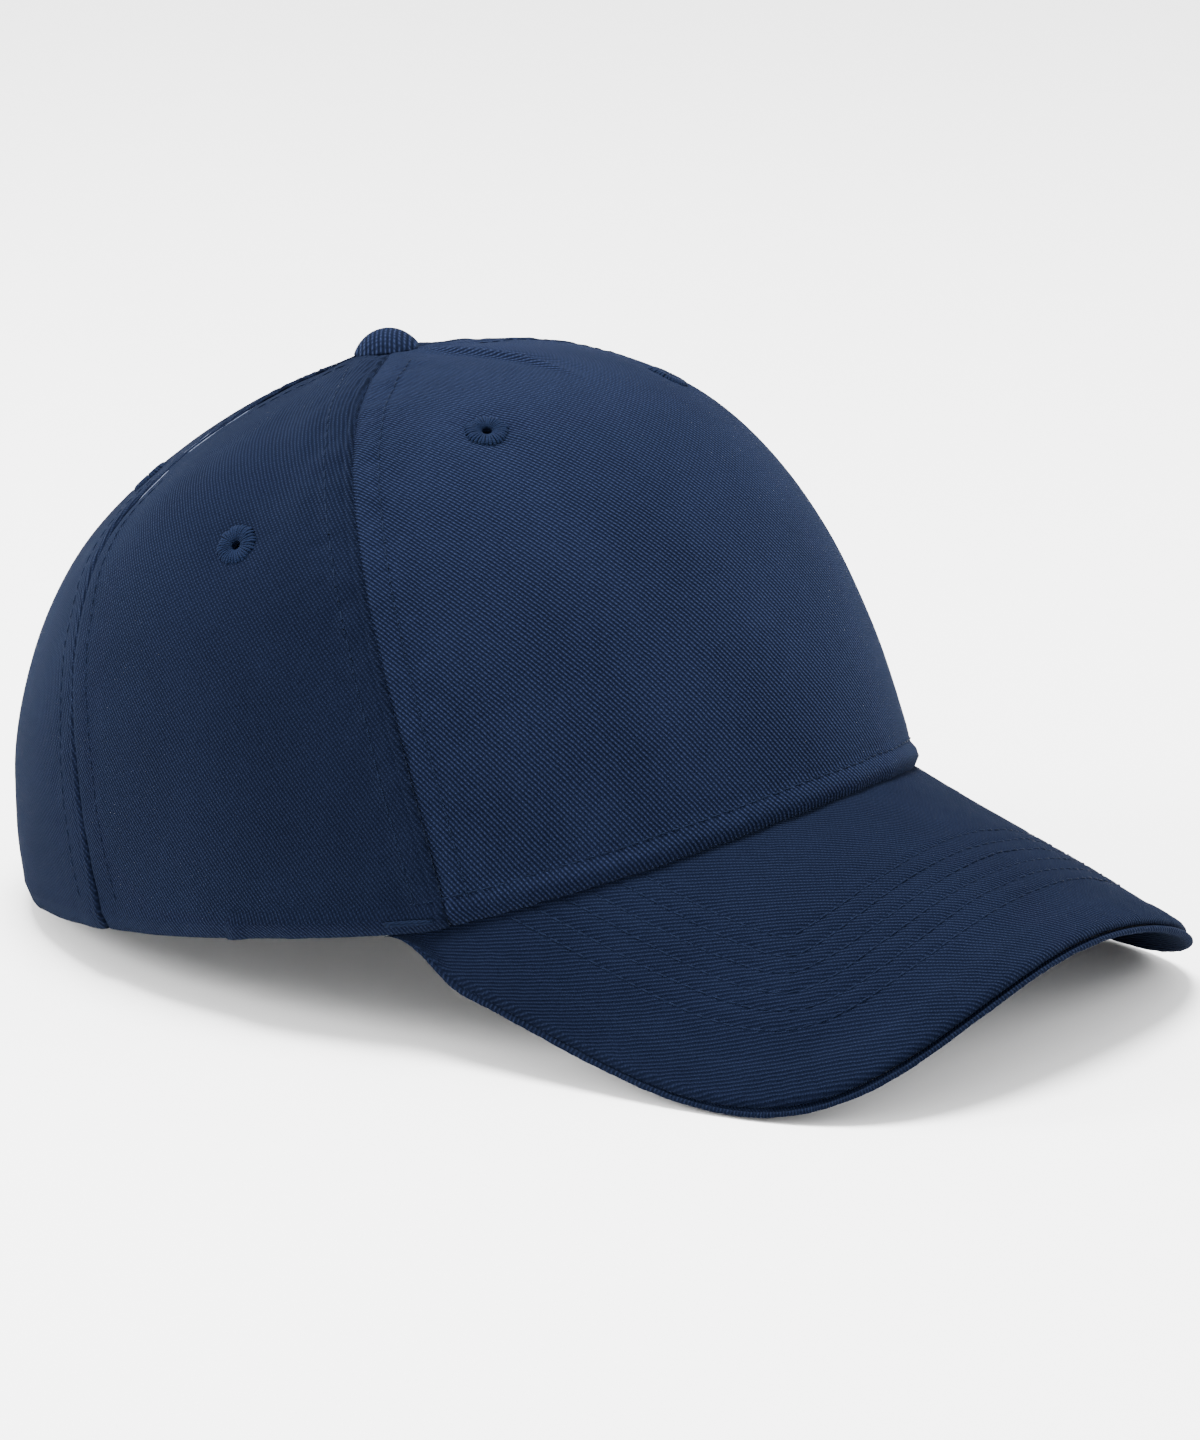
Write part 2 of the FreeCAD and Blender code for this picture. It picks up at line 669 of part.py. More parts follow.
hinge_radius = f"({strap_outer} + Sizes.strap_clearance + Sizes.barrel_diameter / 2)"
lower_ear = "(Sizes.strap_bottom - Sizes.strap_clearance - Sizes.ear_thickness)"
upper_ear = f"({strap_top} + Sizes.strap_clearance)"
frame_height = f"({upper_ear} + Sizes.ear_thickness - {lower_ear})"

sub_part("adjusting_strap", ring_sector("adjusting_strap", strap_inner, strap_outer,
                                        cell("strap_start"), cell("strap_end"),
                                        cell("strap_bottom"), cell("strap_width")))

back_plate = ring_sector("back_plate", plate_inner, plate_outer, cell("plate_start"),
                         cell("plate_end"), lower_ear, frame_height)
tab_slot = ring_sector("tab_slot", f"{plate_inner} - 1", f"{plate_outer} + 1",
                       cell("slot_start"), cell("slot_end"), cell("strap_bottom"),
                       cell("strap_width"))
ear_outer = f"({hinge_radius} + Sizes.barrel_diameter / 2)"
ear_start = "(Sizes.pin_angle - Sizes.barrel_diameter)"
ear_end = "(Sizes.pin_angle + Sizes.barrel_diameter * 0.8)"
ears = []
for name, bottom in (("lower_ear", lower_ear), ("upper_ear", upper_ear)):
    ears.append(ring_sector(name, plate_outer, ear_outer, ear_start, ear_end, bottom,
                            cell("ear_thickness")))
pin_seat = hinge_cylinder("pin_seat", "Sizes.pin_diameter / 2", lower_ear, frame_height)
slotted_plate = cut("slotted_plate", back_plate, tab_slot)
whole_frame = fuse("whole_frame", slotted_plate, *ears)
sub_part("buckle_frame", cut("buckle_frame", whole_frame, pin_seat))
pin_shaft = hinge_cylinder("pin_shaft", "Sizes.pin_diameter / 2", lower_ear,
                           f"{frame_height} + Sizes.pin_head_height")
pin_head = hinge_cylinder("pin_head", "Sizes.pin_head_diameter / 2",
                          f"{lower_ear} + {frame_height}", cell("pin_head_height"))
sub_part("buckle_pin", fuse("buckle_pin", pin_shaft, pin_head))

lever_bottom = f"({lower_ear} + Sizes.ear_thickness + Sizes.lever_side_gap)"
lever_height = f"({upper_ear} - Sizes.lever_side_gap - {lever_bottom})"
tongue_inner = f"({hinge_radius} - Sizes.lever_thickness / 2)"
tongue_outer = f"({hinge_radius} + Sizes.lever_thickness / 2)"
tongue = ring_sector("lever_tongue", tongue_inner, tongue_outer, cell("lever_tip"),
                     cell("pin_angle"), lever_bottom, lever_height)
barrel = hinge_cylinder("lever_barrel", "Sizes.barrel_diameter / 2", lever_bottom, lever_height)
lever_bore = hinge_cylinder("lever_bore", "Sizes.pin_diameter / 2 + Sizes.hole_clearance",
                            lever_bottom, lever_height)
whole_lever = fuse("whole_lever", tongue, barrel)
sub_part("buckle_lever", cut("buckle_lever", whole_lever, lever_bore))

# The tab is one strip folded through the slot and round the plate's end bar; it stays on
# the inner side of the strap's tail, and its two layers are sewn together past the bar.
tab_bottom = "(Sizes.strap_bottom + Sizes.tab_margin)"
tab_height = "(Sizes.strap_width - 2 * Sizes.tab_margin)"
tab_outer = f"({plate_outer} + Sizes.strap_clearance / 2)"
tab_inner = f"({plate_inner} - Sizes.tab_thickness)"
fold_start = "(Sizes.slot_start + 0.4)"
tab_block = ring_sector("tab_block", tab_inner, plate_outer, fold_start, cell("tab_end"),
                        tab_bottom, tab_height)
bar_room = ring_sector("bar_room", plate_inner, tab_outer, cell("slot_end"), cell("plate_end"),
                       tab_bottom, tab_height)
sub_part("buckle_tab", cut("buckle_tab", tab_block, bar_room))


# --- Stand the cap on its visor edges and rear corners ----------------------------------

doc.recompute()

lean = FreeCAD.Rotation(V(1, 0, 0), -size("rest_tilt"))
whole = Part.makeCompound([made.Shape for made in sub_parts])
leaned = whole.copy()
leaned.Placement = FreeCAD.Placement(V(0, 0, 0), lean)
box = leaned.optimalBoundingBox(False)
shift = V(-box.Center.x, -box.Center.y, -box.ZMin)
rest = FreeCAD.Placement(shift, lean)
for made in sub_parts:
    made.Placement = rest.multiply(made.Placement)
doc.recompute()


# --- Checks and files -------------------------------------------------------------------

for item in doc.Objects:
    if "Invalid" in item.State or "Error" in item.State:
        raise RuntimeError(f"{item.Label} did not rebuild: {item.State}")
for made in sub_parts:
    if made.Shape.isNull() or not made.Shape.isValid():
        raise RuntimeError(f"{made.Label} has no valid shape")

os.makedirs("parts", exist_ok=True)
for made in sub_parts:
    made.Shape.exportStep(os.path.join("parts", f"{made.Label}.step"))
    print(f"{made.Label}: {len(made.Shape.Solids)} solid, {made.Shape.Volume:.0f} cubic mm")
print("rest placement", rest)
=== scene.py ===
import json
import math

import bmesh
import bpy
import numpy as np
from mathutils import Matrix, Vector
from mathutils.kdtree import KDTree


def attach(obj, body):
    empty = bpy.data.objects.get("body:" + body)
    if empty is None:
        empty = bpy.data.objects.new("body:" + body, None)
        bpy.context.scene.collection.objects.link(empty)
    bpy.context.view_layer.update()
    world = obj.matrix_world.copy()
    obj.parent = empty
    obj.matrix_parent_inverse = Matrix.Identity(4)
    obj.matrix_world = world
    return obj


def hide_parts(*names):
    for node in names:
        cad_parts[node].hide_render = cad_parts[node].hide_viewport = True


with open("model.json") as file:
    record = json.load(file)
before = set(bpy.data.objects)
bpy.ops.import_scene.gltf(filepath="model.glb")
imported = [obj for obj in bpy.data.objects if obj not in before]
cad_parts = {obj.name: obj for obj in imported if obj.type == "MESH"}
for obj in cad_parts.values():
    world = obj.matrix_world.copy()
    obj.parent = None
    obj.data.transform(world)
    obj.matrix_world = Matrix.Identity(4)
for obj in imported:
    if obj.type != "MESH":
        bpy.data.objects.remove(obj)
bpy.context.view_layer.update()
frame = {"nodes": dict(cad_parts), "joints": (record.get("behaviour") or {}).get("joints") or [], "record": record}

MM = 0.001
rng = np.random.default_rng(7)

# ======================================================================================
# The cap's own frame: head opening in the XY plane, visor towards -Y, millimetres
# ======================================================================================

HALF_WIDTH, FRONT_DEPTH, BACK_DEPTH, HEIGHT = 85.5, 96.4, 108.7, 106.2
SETBACK, SETBACK_POWER, BELLY = 10.2, 0.84, 0.007
PROFILES = {"front": (3.594, 1.722), "side": (2.669, 3.139), "back": (1.801, 1.809)}
ARCH_HEIGHT, ARCH_HALF_WIDTH = 10.8, 77.5
TWILL, BUCKRAM, TAPE = 0.9, 0.7, 0.6
TOP_RISE = 0.995
LINING_TOP_RISE = 0.93
SEAM_POWER = 2.1
OPENING_HALF_WIDTH, OPENING_STRAIGHT, BINDING_WIDTH = 40.0, 9.0, 8.0

joints = {joint["name"]: joint for joint in frame["joints"]}
strap_axis = Vector(joints["strap_adjust"]["axis"])
tilt = math.atan2(-strap_axis.y, -strap_axis.z)
lean = Matrix.Rotation(-tilt, 3, "X")
mounts = {mount["name"]: mount for mount in frame["record"]["mounts"]}
opening_centre = Vector(mounts["head_opening"]["pos_m"])
origin = opening_centre - lean @ Vector((0.0, -2.0 * MM, 0.0))


def to_row(points):
    """Cap frame in mm to the row frame in metres."""
    turned = np.asarray(points) * MM @ np.array(lean).T
    return turned + np.array(origin)


def smooth(value):
    value = np.clip(value, 0.0, 1.0)
    return value * value * (3.0 - 2.0 * value)


def mix(start, end, share):
    return start + (end - start) * share


def bell(distance, width):
    return np.exp(-(distance / width) ** 2)


def crown(angle, rise, inset=(0.0, 0.0, 0.0, 0.0)):
    """Points of the crown: angle in degrees from the front, + to the wearer's left; rise 0
    at the head opening and 1 at the button; inset front, side, back and top."""
    angle, rise = np.broadcast_arrays(np.radians(angle), np.asarray(rise, float))
    share = np.sin(np.clip(rise, 0.0, 1.0) * math.pi / 2) ** 0.75
    belly = 1.0 + BELLY * 4.0 * share * (1.0 - share)
    radius = {}
    for name, (plan, up) in PROFILES.items():
        radius[name] = np.maximum(1.0 - share ** up, 0.0) ** (1.0 / plan) * belly
    forward = np.cos(angle)
    depth = np.where(forward > 0, (FRONT_DEPTH - inset[0]) * radius["front"],
                     (BACK_DEPTH - inset[2]) * radius["back"])
    x = (HALF_WIDTH - inset[1]) * radius["side"] * np.sin(angle)
    y = SETBACK * share ** SETBACK_POWER - depth * forward
    return np.stack([x, y, (HEIGHT - inset[3]) * share], -1)


def rise_at(height):
    share = np.asarray(height) / HEIGHT
    return np.degrees(np.arcsin(share ** (1.0 / 0.75))) / 90.0


def arch_at(across):
    """Height of the crown's front edge at a distance from the middle."""
    radius = (ARCH_HALF_WIDTH ** 2 + ARCH_HEIGHT ** 2) / (2 * ARCH_HEIGHT)
    inside = np.minimum(np.abs(across), ARCH_HALF_WIDTH)
    return ARCH_HEIGHT - radius + np.sqrt(radius ** 2 - inside ** 2)


def bottom_rise(angle, inset=(0.0, 0.0, 0.0, 0.0)):
    foot = crown(angle, 0.0, inset)[..., 0]
    return np.where(np.abs(angle) < 90.0, rise_at(np.maximum(arch_at(foot), 0.0)), 0.0)


class Seam:
    def __init__(self, base_angle, sweep, side):
        self.base_angle, self.sweep, self.side = base_angle, sweep, side

    def angle(self, rise, shift=0.0):
        """Its angle at a rise, moved sideways by mm, + to the wearer's left."""
        turn = self.side * (self.base_angle + self.sweep * np.asarray(rise) ** SEAM_POWER)
        point = crown(turn, rise)
        radius = np.hypot(point[..., 0], point[..., 1] - SETBACK)
        return turn + np.degrees(shift / np.maximum(radius, 3.0))

    def curve(self, low=0.0, high=TOP_RISE, shift=0.0, count=260):
        rise = np.linspace(low, high, count)
        return crown(self.angle(rise, shift), rise)


FRONT_SEAM = {side: Seam(61.5, 6.3, side) for side in (-1, 1)}
BACK_SEAM = {side: Seam(113.2, 43.7, side) for side in (-1, 1)}
CENTRE_BACK = {side: Seam(180.0, 0.0, side) for side in (-1, 1)}


# ======================================================================================
# Mesh helpers
# ======================================================================================

def unit(vectors):
    return vectors / np.maximum(np.linalg.norm(vectors, axis=-1, keepdims=True), 1e-9)


def grid_normals(grid):
    return unit(np.cross(np.gradient(grid, axis=0), np.gradient(grid, axis=1)))


def path_length(points):
    steps = np.linalg.norm(np.diff(points, axis=0), axis=-1)
    return np.concatenate([[0.0], np.cumsum(steps)])


def sample(places, along, points):
    """Points of a path at some places along it."""
    return np.stack([np.interp(places, along, points[:, k]) for k in range(3)], -1)


def nearest(points, curve):
    """Distance from each point to a dense curve, and how far along the curve that is."""
    flat = points.reshape(-1, 3)
    along = path_length(curve)
    distance = np.empty(len(flat))
    place = np.empty(len(flat))
    for start in range(0, len(flat), 3000):
        gap = flat[start:start + 3000, None, :] - curve[None, :, :]
        square = (gap * gap).sum(-1)
        best = square.argmin(1)
        distance[start:start + 3000] = np.sqrt(square[np.arange(len(best)), best])
        place[start:start + 3000] = along[best]
    return distance.reshape(points.shape[:-1]), place.reshape(points.shape[:-1])


def soft_noise(u, v, scale, seed):
    """Smooth random hills, about -1 to 1, one hill every scale mm."""
    table = np.random.default_rng(seed).uniform(-1.0, 1.0, (64, 64))
    x, y = u / scale, v / scale
    i, j = np.floor(x).astype(int), np.floor(y).astype(int)
    fx, fy = smooth(x - i), smooth(y - j)
    corner = [[table[(i + a) % 64, (j + b) % 64] for b in (0, 1)] for a in (0, 1)]
    return mix(mix(corner[0][0], corner[1][0], fx), mix(corner[0][1], corner[1][1], fx), fy)


def new_object(name, vertices, faces, material, uv=None, shade=True):
    mesh = bpy.data.meshes.new(name)
    mesh.from_pydata([tuple(p) for p in vertices], [], faces)
    if uv is not None:
        layer = mesh.uv_layers.new(name="weave")
        loop_vertex = np.empty(len(mesh.loops), dtype=np.int32)
        mesh.loops.foreach_get("vertex_index", loop_vertex)
        layer.data.foreach_set("uv", np.asarray(uv, np.float32)[loop_vertex].ravel())
    mesh.materials.append(material)
    if shade:
        mesh.polygons.foreach_set("use_smooth", [True] * len(mesh.polygons))
    mesh.update()
    made = bpy.data.objects.new(name, mesh)
    bpy.context.scene.collection.objects.link(made)
    return made


def grid_faces(count_across, count_up, start=0, flip=False):
    faces = []
    for i in range(count_across - 1):
        for j in range(count_up - 1):
            a = start + i * count_up + j
            quad = (a, a + count_up, a + count_up + 1, a + 1)
            faces.append(quad[::-1] if flip else quad)
    return faces


def sheet_object(name, outer, inner, uv, material):
    """A closed cloth sheet from two matching grids in the cap frame."""
    across, up = outer.shape[:2]
    if ((outer - inner) * grid_normals(outer)).sum() < 0:
        outer, inner, uv = outer[::-1], inner[::-1], uv[::-1]
    inner_start = across * up
    faces = grid_faces(across, up) + grid_faces(across, up, inner_start, flip=True)
    rim = [i * up for i in range(across)]
    rim += [(across - 1) * up + j for j in range(1, up)]
    rim += [i * up + up - 1 for i in range(across - 2, -1, -1)]
    rim += [j for j in range(up - 2, 0, -1)]
    for a, b in zip(rim, rim[1:] + rim[:1]):
        faces.append((b, a, inner_start + a, inner_start + b))
    points = np.concatenate([outer.reshape(-1, 3), inner.reshape(-1, 3)])
    maps = np.concatenate([uv.reshape(-1, 2), uv.reshape(-1, 2)]) * MM
    return new_object(name, to_row(points), faces, material, maps)


def grid_uv(grid):
    """Cloth coordinates in mm: across from the middle column, and up from the first row."""
    across = np.stack([path_length(row) for row in grid.transpose(1, 0, 2)], 1)
    up = np.stack([path_length(column) for column in grid], 0)
    middle = across[across.shape[0] // 2]
    return np.stack([across - middle, up], -1)


def flat_area(grid):
    """Area of a grid in square metres."""
    a = grid[1:, :-1] - grid[:-1, :-1]
    b = grid[:-1, 1:] - grid[:-1, :-1]
    return float(np.linalg.norm(np.cross(a, b), axis=-1).sum()) * MM * MM


def add_tube(vertices, faces, rings, sides=6):
    """Adds a closed thread to a mesh; each ring is its centre, two directions across and
    its radius."""
    start, last = len(vertices), (len(rings) - 1) * sides
    for centre, side, other, radius in rings:
        for s in range(sides):
            turn = math.tau * s / sides
            vertices.append(centre + radius * (math.cos(turn) * side + math.sin(turn) * other))
    for k in range(start, start + last, sides):
        for s in range(sides):
            a, b = k + s, k + (s + 1) % sides
            faces.append((a, a + sides, b + sides, b))
    faces.append(tuple(start + s for s in range(sides)))
    faces.append(tuple(start + last + s for s in reversed(range(sides))))


def tubes(name, runs, radius, material):
    """Short round threads, one for each run of points, joined in one object; the ends are
    drawn in to points like pulled stitches."""
    vertices, faces = [], []
    for run in runs:
        tangent = unit(np.gradient(run, axis=0))
        helper = np.where(np.abs(tangent[:, 2:3]) > 0.9, [[1.0, 0, 0]], [[0, 0, 1.0]])
        side = unit(np.cross(tangent, helper))
        fat = radius * np.sin(math.pi * np.linspace(0.12, 0.88, len(run))) ** 0.5
        add_tube(vertices, faces, list(zip(run, side, np.cross(tangent, side), fat)))
    return new_object(name, to_row(np.array(vertices)), faces, material)


def stitch_runs(curve, normals, pitch, length, lift, bow=0.12):
    """Splits a curve on a surface into stitches that dive in at both ends."""
    along = path_length(curve)
    runs = []
    for start in np.arange(0.3 * pitch, along[-1] - length, pitch):
        places = start + np.linspace(0.0, 1.0, 5) * length * rng.uniform(0.94, 1.04)
        arc = lift + bow * np.sin(np.linspace(0.0, math.pi, 5))
        runs.append(sample(places, along, curve) + sample(places, along, normals) * arc[:, None])
    return runs


# ======================================================================================
# Materials
# ======================================================================================

class Nodes:
    """A short way to write shader maths."""

    def __init__(self, name):
        self.material = bpy.data.materials.new(name)
        self.material.use_nodes = True
        self.tree = self.material.node_tree
        self.shader = self.tree.nodes["Principled BSDF"]

    def new(self, kind, **settings):
        node = self.tree.nodes.new(kind)
        for key, value in settings.items():
            setattr(node, key, value)
        return node

    def put(self, value, socket):
        if isinstance(value, bpy.types.NodeSocket):
            self.tree.links.new(value, socket)
        else:
            socket.default_value = value

    def math(self, operation, *values):
        node = self.new("ShaderNodeMath", operation=operation)
        for value, socket in zip(values, node.inputs):
            self.put(value, socket)
        return node.outputs[0]

    def noise(self, vector, scale, detail=2.0, roughness=0.5):
        node = self.new("ShaderNodeTexNoise")
        self.put(vector, node.inputs["Vector"])
        node.inputs["Scale"].default_value = scale
        node.inputs["Detail"].default_value = detail
        node.inputs["Roughness"].default_value = roughness
        return node.outputs["Fac"]

    def blend(self, share, first, second):
        node = self.new("ShaderNodeMix", data_type="RGBA")
        self.put(share, node.inputs["Factor"])
        self.put(first, node.inputs[6])
        self.put(second, node.inputs[7])
        return node.outputs[2]

    def wave(self, value):
        """0 to 1 and back, once for each unit of the value."""
        turn = self.math("MULTIPLY", value, math.tau)
        return self.math("MULTIPLY_ADD", self.math("SINE", turn), 0.5, 0.5)

    def mean(self, first, second, share):
        return self.math("ADD", self.math("MULTIPLY", first, 1.0 - share),
                         self.math("MULTIPLY", second, share))

    def ramp(self, value, low, high):
        node = self.new("ShaderNodeMapRange")
        self.put(value, node.inputs["Value"])
        node.inputs["To Min"].default_value = low
        node.inputs["To Max"].default_value = high
        return node.outputs["Result"]

    def bump(self, height, strength, distance, normal=None):
        node = self.new("ShaderNodeBump")
        self.put(height, node.inputs["Height"])
        node.inputs["Strength"].default_value = strength
        node.inputs["Distance"].default_value = distance
        if normal is not None:
            self.put(normal, node.inputs["Normal"])
        return node.outputs["Normal"]

    def object_place(self):
        return self.new("ShaderNodeTexCoord").outputs["Object"]

    def cloth_place(self):
        """Cloth coordinates in mm as two sockets."""
        uv = self.new("ShaderNodeUVMap", uv_map="weave")
        parts = self.new("ShaderNodeSeparateXYZ")
        self.put(uv.outputs["UV"], parts.inputs[0])
        return [self.math("MULTIPLY", parts.outputs[k], 1000.0) for k in (0, 1)]

    def surface(self, **values):
        names = {"color": "Base Color", "rough": "Roughness", "normal": "Normal",
                 "metal": "Metallic", "sheen": "Sheen Weight", "sheen_rough": "Sheen Roughness",
                 "sheen_tint": "Sheen Tint", "specular": "Specular IOR Level"}
        for key, value in values.items():
            self.put(value, self.shader.inputs[names[key]])
        return self.material


def colour(red, green, blue):
    return (red, green, blue, 1.0)


def twill(name, angle, deep, light, pitch=0.9, relief=0.00035, nap=0.30):
    """Brushed cotton twill: diagonal wales at an angle to the cloth's width, each a row of
    small floats, under a short nap."""
    n = Nodes(name)
    u, v = n.cloth_place()
    place = n.object_place()
    turn = math.radians(angle)
    wobble = n.math("MULTIPLY_ADD", n.noise(place, 260.0), 0.55, -0.275)
    across = n.math("ADD", n.math("MULTIPLY", u, -math.sin(turn) / pitch),
                    n.math("MULTIPLY", v, math.cos(turn) / pitch))
    wale = n.math("POWER", n.wave(n.math("ADD", across, wobble)), 1.6)
    along = n.math("ADD", n.math("MULTIPLY", u, math.cos(turn) / (0.92 * pitch)),
                   n.math("MULTIPLY", v, math.sin(turn) / (0.92 * pitch)))
    step = n.math("MULTIPLY_ADD", n.noise(place, 900.0), 0.9, -0.45)
    floats = n.wave(n.math("ADD", along, step))
    height = n.math("MULTIPLY", wale, n.math("MULTIPLY_ADD", floats, 0.62, 0.38))
    fuzz = n.noise(place, 2400.0, detail=3.0, roughness=0.7)
    patches = n.noise(place, 38.0, detail=4.0, roughness=0.6)
    # The colour runs from deep in the grooves to light on the floats, so the grooves carry painted shade; the fuzz
    # and patches add random tone.
    share = n.math("ADD", n.mean(height, fuzz, nap),
                   n.math("MULTIPLY_ADD", patches, 0.22, -0.11))
    return n.surface(color=n.blend(share, deep, light), rough=n.ramp(fuzz, 0.78, 0.98),
                     normal=n.bump(height, 0.8, relief, n.bump(fuzz, 0.35, 0.00012)),
                     sheen=0.03, sheen_rough=0.42, sheen_tint=colour(0.42, 0.58, 1.0),
                     specular=0.004)


def thread(name, deep, light):
    """Twisted sewing thread."""
    n = Nodes(name)
    place = n.object_place()
    twist = n.new("ShaderNodeTexWave", wave_type="BANDS", bands_direction="DIAGONAL")
    n.put(place, twist.inputs["Vector"])
    twist.inputs["Scale"].default_value = 900.0
    twist.inputs["Distortion"].default_value = 2.0
    fibre = n.noise(place, 1800.0)
    share = n.mean(twist.outputs["Fac"], fibre, 0.5)
    return n.surface(color=n.blend(share, deep, light), rough=n.ramp(fibre, 0.5, 0.75),
                     normal=n.bump(share, 0.5, 0.00008), sheen=0.02, sheen_rough=0.4,
                     sheen_tint=colour(0.5, 0.65, 1.0), specular=0.015)


def mesh_cloth(name, deep, light, pitch):
    """Open plain weave, as on stiffener and interlining."""
    n = Nodes(name)
    u, v = n.cloth_place()
    place = n.object_place()
    weave = n.math("MAXIMUM", *[n.wave(n.math("DIVIDE", value, pitch)) for value in (u, v)])
    fuzz = n.noise(place, 1500.0)
    return n.surface(color=n.blend(weave, deep, light), rough=n.ramp(fuzz, 0.75, 0.95),
                     normal=n.bump(weave, 0.9, 0.0003, n.bump(fuzz, 0.3, 0.0001)),
                     specular=0.2)


def herringbone(name, deep, light, pitch=1.1, width=3.0):
    """Seam tape: twill that turns back every few millimetres."""
    n = Nodes(name)
    u, v = n.cloth_place()
    place = n.object_place()
    fold = n.math("PINGPONG", u, width)
    fuzz = n.noise(place, 2000.0)
    share = n.mean(n.wave(n.math("DIVIDE", n.math("ADD", fold, v), pitch)), fuzz, 0.3)
    return n.surface(color=n.blend(share, deep, light), rough=n.ramp(fuzz, 0.7, 0.9),
                     normal=n.bump(share, 0.6, 0.00015), sheen=0.15, specular=0.25)


def satin(name, deep, light):
    """Woven satin label, with fine floats along its width."""
    n = Nodes(name)
    rows = n.wave(n.math("DIVIDE", n.cloth_place()[1], 0.35))
    streak = n.noise(n.object_place(), 700.0)
    return n.surface(color=n.blend(n.mean(rows, streak, 0.5), deep, light), rough=n.ramp(streak, 0.35, 0.55),
                     normal=n.bump(rows, 0.4, 0.00008), sheen=0.2, specular=0.4)


def metal(name, deep, light, low, high):
    """Plated sheet metal with fine brush lines, small scratches and random darker stains."""
    n = Nodes(name)
    place = n.object_place()
    stretch = n.new("ShaderNodeMapping")
    n.put(place, stretch.inputs["Vector"])
    stretch.inputs["Scale"].default_value = (1.0, 1.0, 14.0)
    brush = n.noise(stretch.outputs[0], 420.0, detail=4.0, roughness=0.7)
    stain = n.noise(place, 160.0, detail=3.0)
    return n.surface(color=n.blend(n.mean(brush, stain, 0.4), deep, light), rough=n.ramp(brush, low, high),
                     normal=n.bump(brush, 0.25, 0.00005), metal=1.0)


def plastic(name, deep, light):
    """Moulded board with a fine grain."""
    n = Nodes(name)
    grain = n.noise(n.object_place(), 900.0, detail=3.0)
    return n.surface(color=n.blend(grain, deep, light), rough=n.ramp(grain, 0.45, 0.65),
                     normal=n.bump(grain, 0.2, 0.0001), specular=0.4)


# DEEP is almost black. It is the twill's dark end: painted shade in the grooves between the wales.
DEEP = colour(0.0002, 0.0004, 0.0014)
LIGHT = colour(0.0135, 0.0195, 0.0470)
# This light tone is a darker copy of LIGHT, the same navy. It is painted shade on the side, back and visor panels,
# the strap and the sweatband. LIGHT, on the front panel and the button, is the lit copy.
PAINTED_SHADE_LIGHT = colour(0.0078, 0.0114, 0.0275)
FRONT_TWILL = twill("twill_front", -60.0, DEEP, LIGHT)


# Navy twill with a softer nap and painted shade: its light tone is the darker copy of LIGHT.
def soft_shaded_twill(name, angle):
    return twill(f"twill_{name}", angle, DEEP, PAINTED_SHADE_LIGHT, pitch=0.8, nap=0.5)


SIDE_TWILL = {-1: soft_shaded_twill("side_right", 64.0), 1: soft_shaded_twill("side_left", -38.0)}
BACK_TWILL = {-1: soft_shaded_twill("back_right", 56.0), 1: soft_shaded_twill("back_left", -44.0)}
VISOR_TWILL, UNDER_TWILL = soft_shaded_twill("visor", 50.0), soft_shaded_twill("visor_under", -50.0)
BUTTON_TWILL = twill("twill_button", 30.0, DEEP, LIGHT, pitch=0.95, relief=0.0004)
STRAP_TWILL = twill("twill_strap", 45.0, DEEP, PAINTED_SHADE_LIGHT)
BAND_TWILL = twill("twill_sweatband", 50.0, DEEP, PAINTED_SHADE_LIGHT, pitch=0.7, nap=0.45)
THREAD = thread("thread_navy", colour(0.0006, 0.0012, 0.0035), colour(0.0062, 0.0102, 0.0255))
VISOR_THREAD = thread("thread_visor", colour(0.001, 0.002, 0.006),
                      colour(0.0055, 0.0088, 0.022))
EYELET_THREAD = thread("thread_eyelet", colour(0.001, 0.002, 0.0065),
                       colour(0.0068, 0.0115, 0.030))
BUCKRAM_CLOTH = mesh_cloth("buckram_mesh", colour(0.30, 0.30, 0.28), colour(0.72, 0.71, 0.67),
                           1.6)
PADDING_CLOTH = mesh_cloth("interlining", colour(0.35, 0.35, 0.33), colour(0.6, 0.6, 0.57), 0.7)
TAPE_CLOTH = herringbone("seam_tape_cloth", colour(0.008, 0.014, 0.034),
                         colour(0.03, 0.05, 0.11))
LABEL_CLOTH = satin("label_cloth", colour(0.45, 0.45, 0.44), colour(0.75, 0.75, 0.73))
NICKEL = metal("antique_nickel", colour(0.085, 0.078, 0.066), colour(0.30, 0.285, 0.25), 0.3, 0.5)
MILL_METAL = metal("mill_aluminium", colour(0.5, 0.5, 0.5), colour(0.75, 0.75, 0.75), 0.3, 0.45)
BOARD_PLASTIC = plastic("board_plastic", colour(0.012, 0.012, 0.013), colour(0.03, 0.03, 0.032))

METAL_NODES = {MILL_METAL: ("button_shell", "button_rivet", "button_washer"),
               NICKEL: ("buckle_frame", "buckle_pin", "buckle_lever")}
for material, nodes in METAL_NODES.items():
    for node in nodes:
        for slot in frame["nodes"][node].material_slots:
            slot.material = material


# ======================================================================================
# Crown panels
# ======================================================================================

STITCH_OFF = 5.6           # topstitch rows from the seam, mm
VISOR_ROLL = 6.0           # first row above the visor
EYELETS = {"front": (36.0, 0.66), "side": (83.7, 0.475), "back": (148.0, 0.58)}
EYELET_RADIUS, HOLE_RADIUS = 4.7, 1.1
GAP = -0.3                 # the panels' edges overlap under the seam
TOP_LIFT = 1.3             # cloth bunched up under the button

dart = crown(np.zeros(200), np.linspace(0.715, 0.985, 200))
bottom_angles = np.linspace(-89.5, 89.5, 700)
bottom_line = crown(bottom_angles, bottom_rise(bottom_angles))
foot_angles = np.concatenate([np.linspace(-180, -84, 400), np.linspace(84, 180, 400)])
foot_line = crown(foot_angles, np.zeros(800))


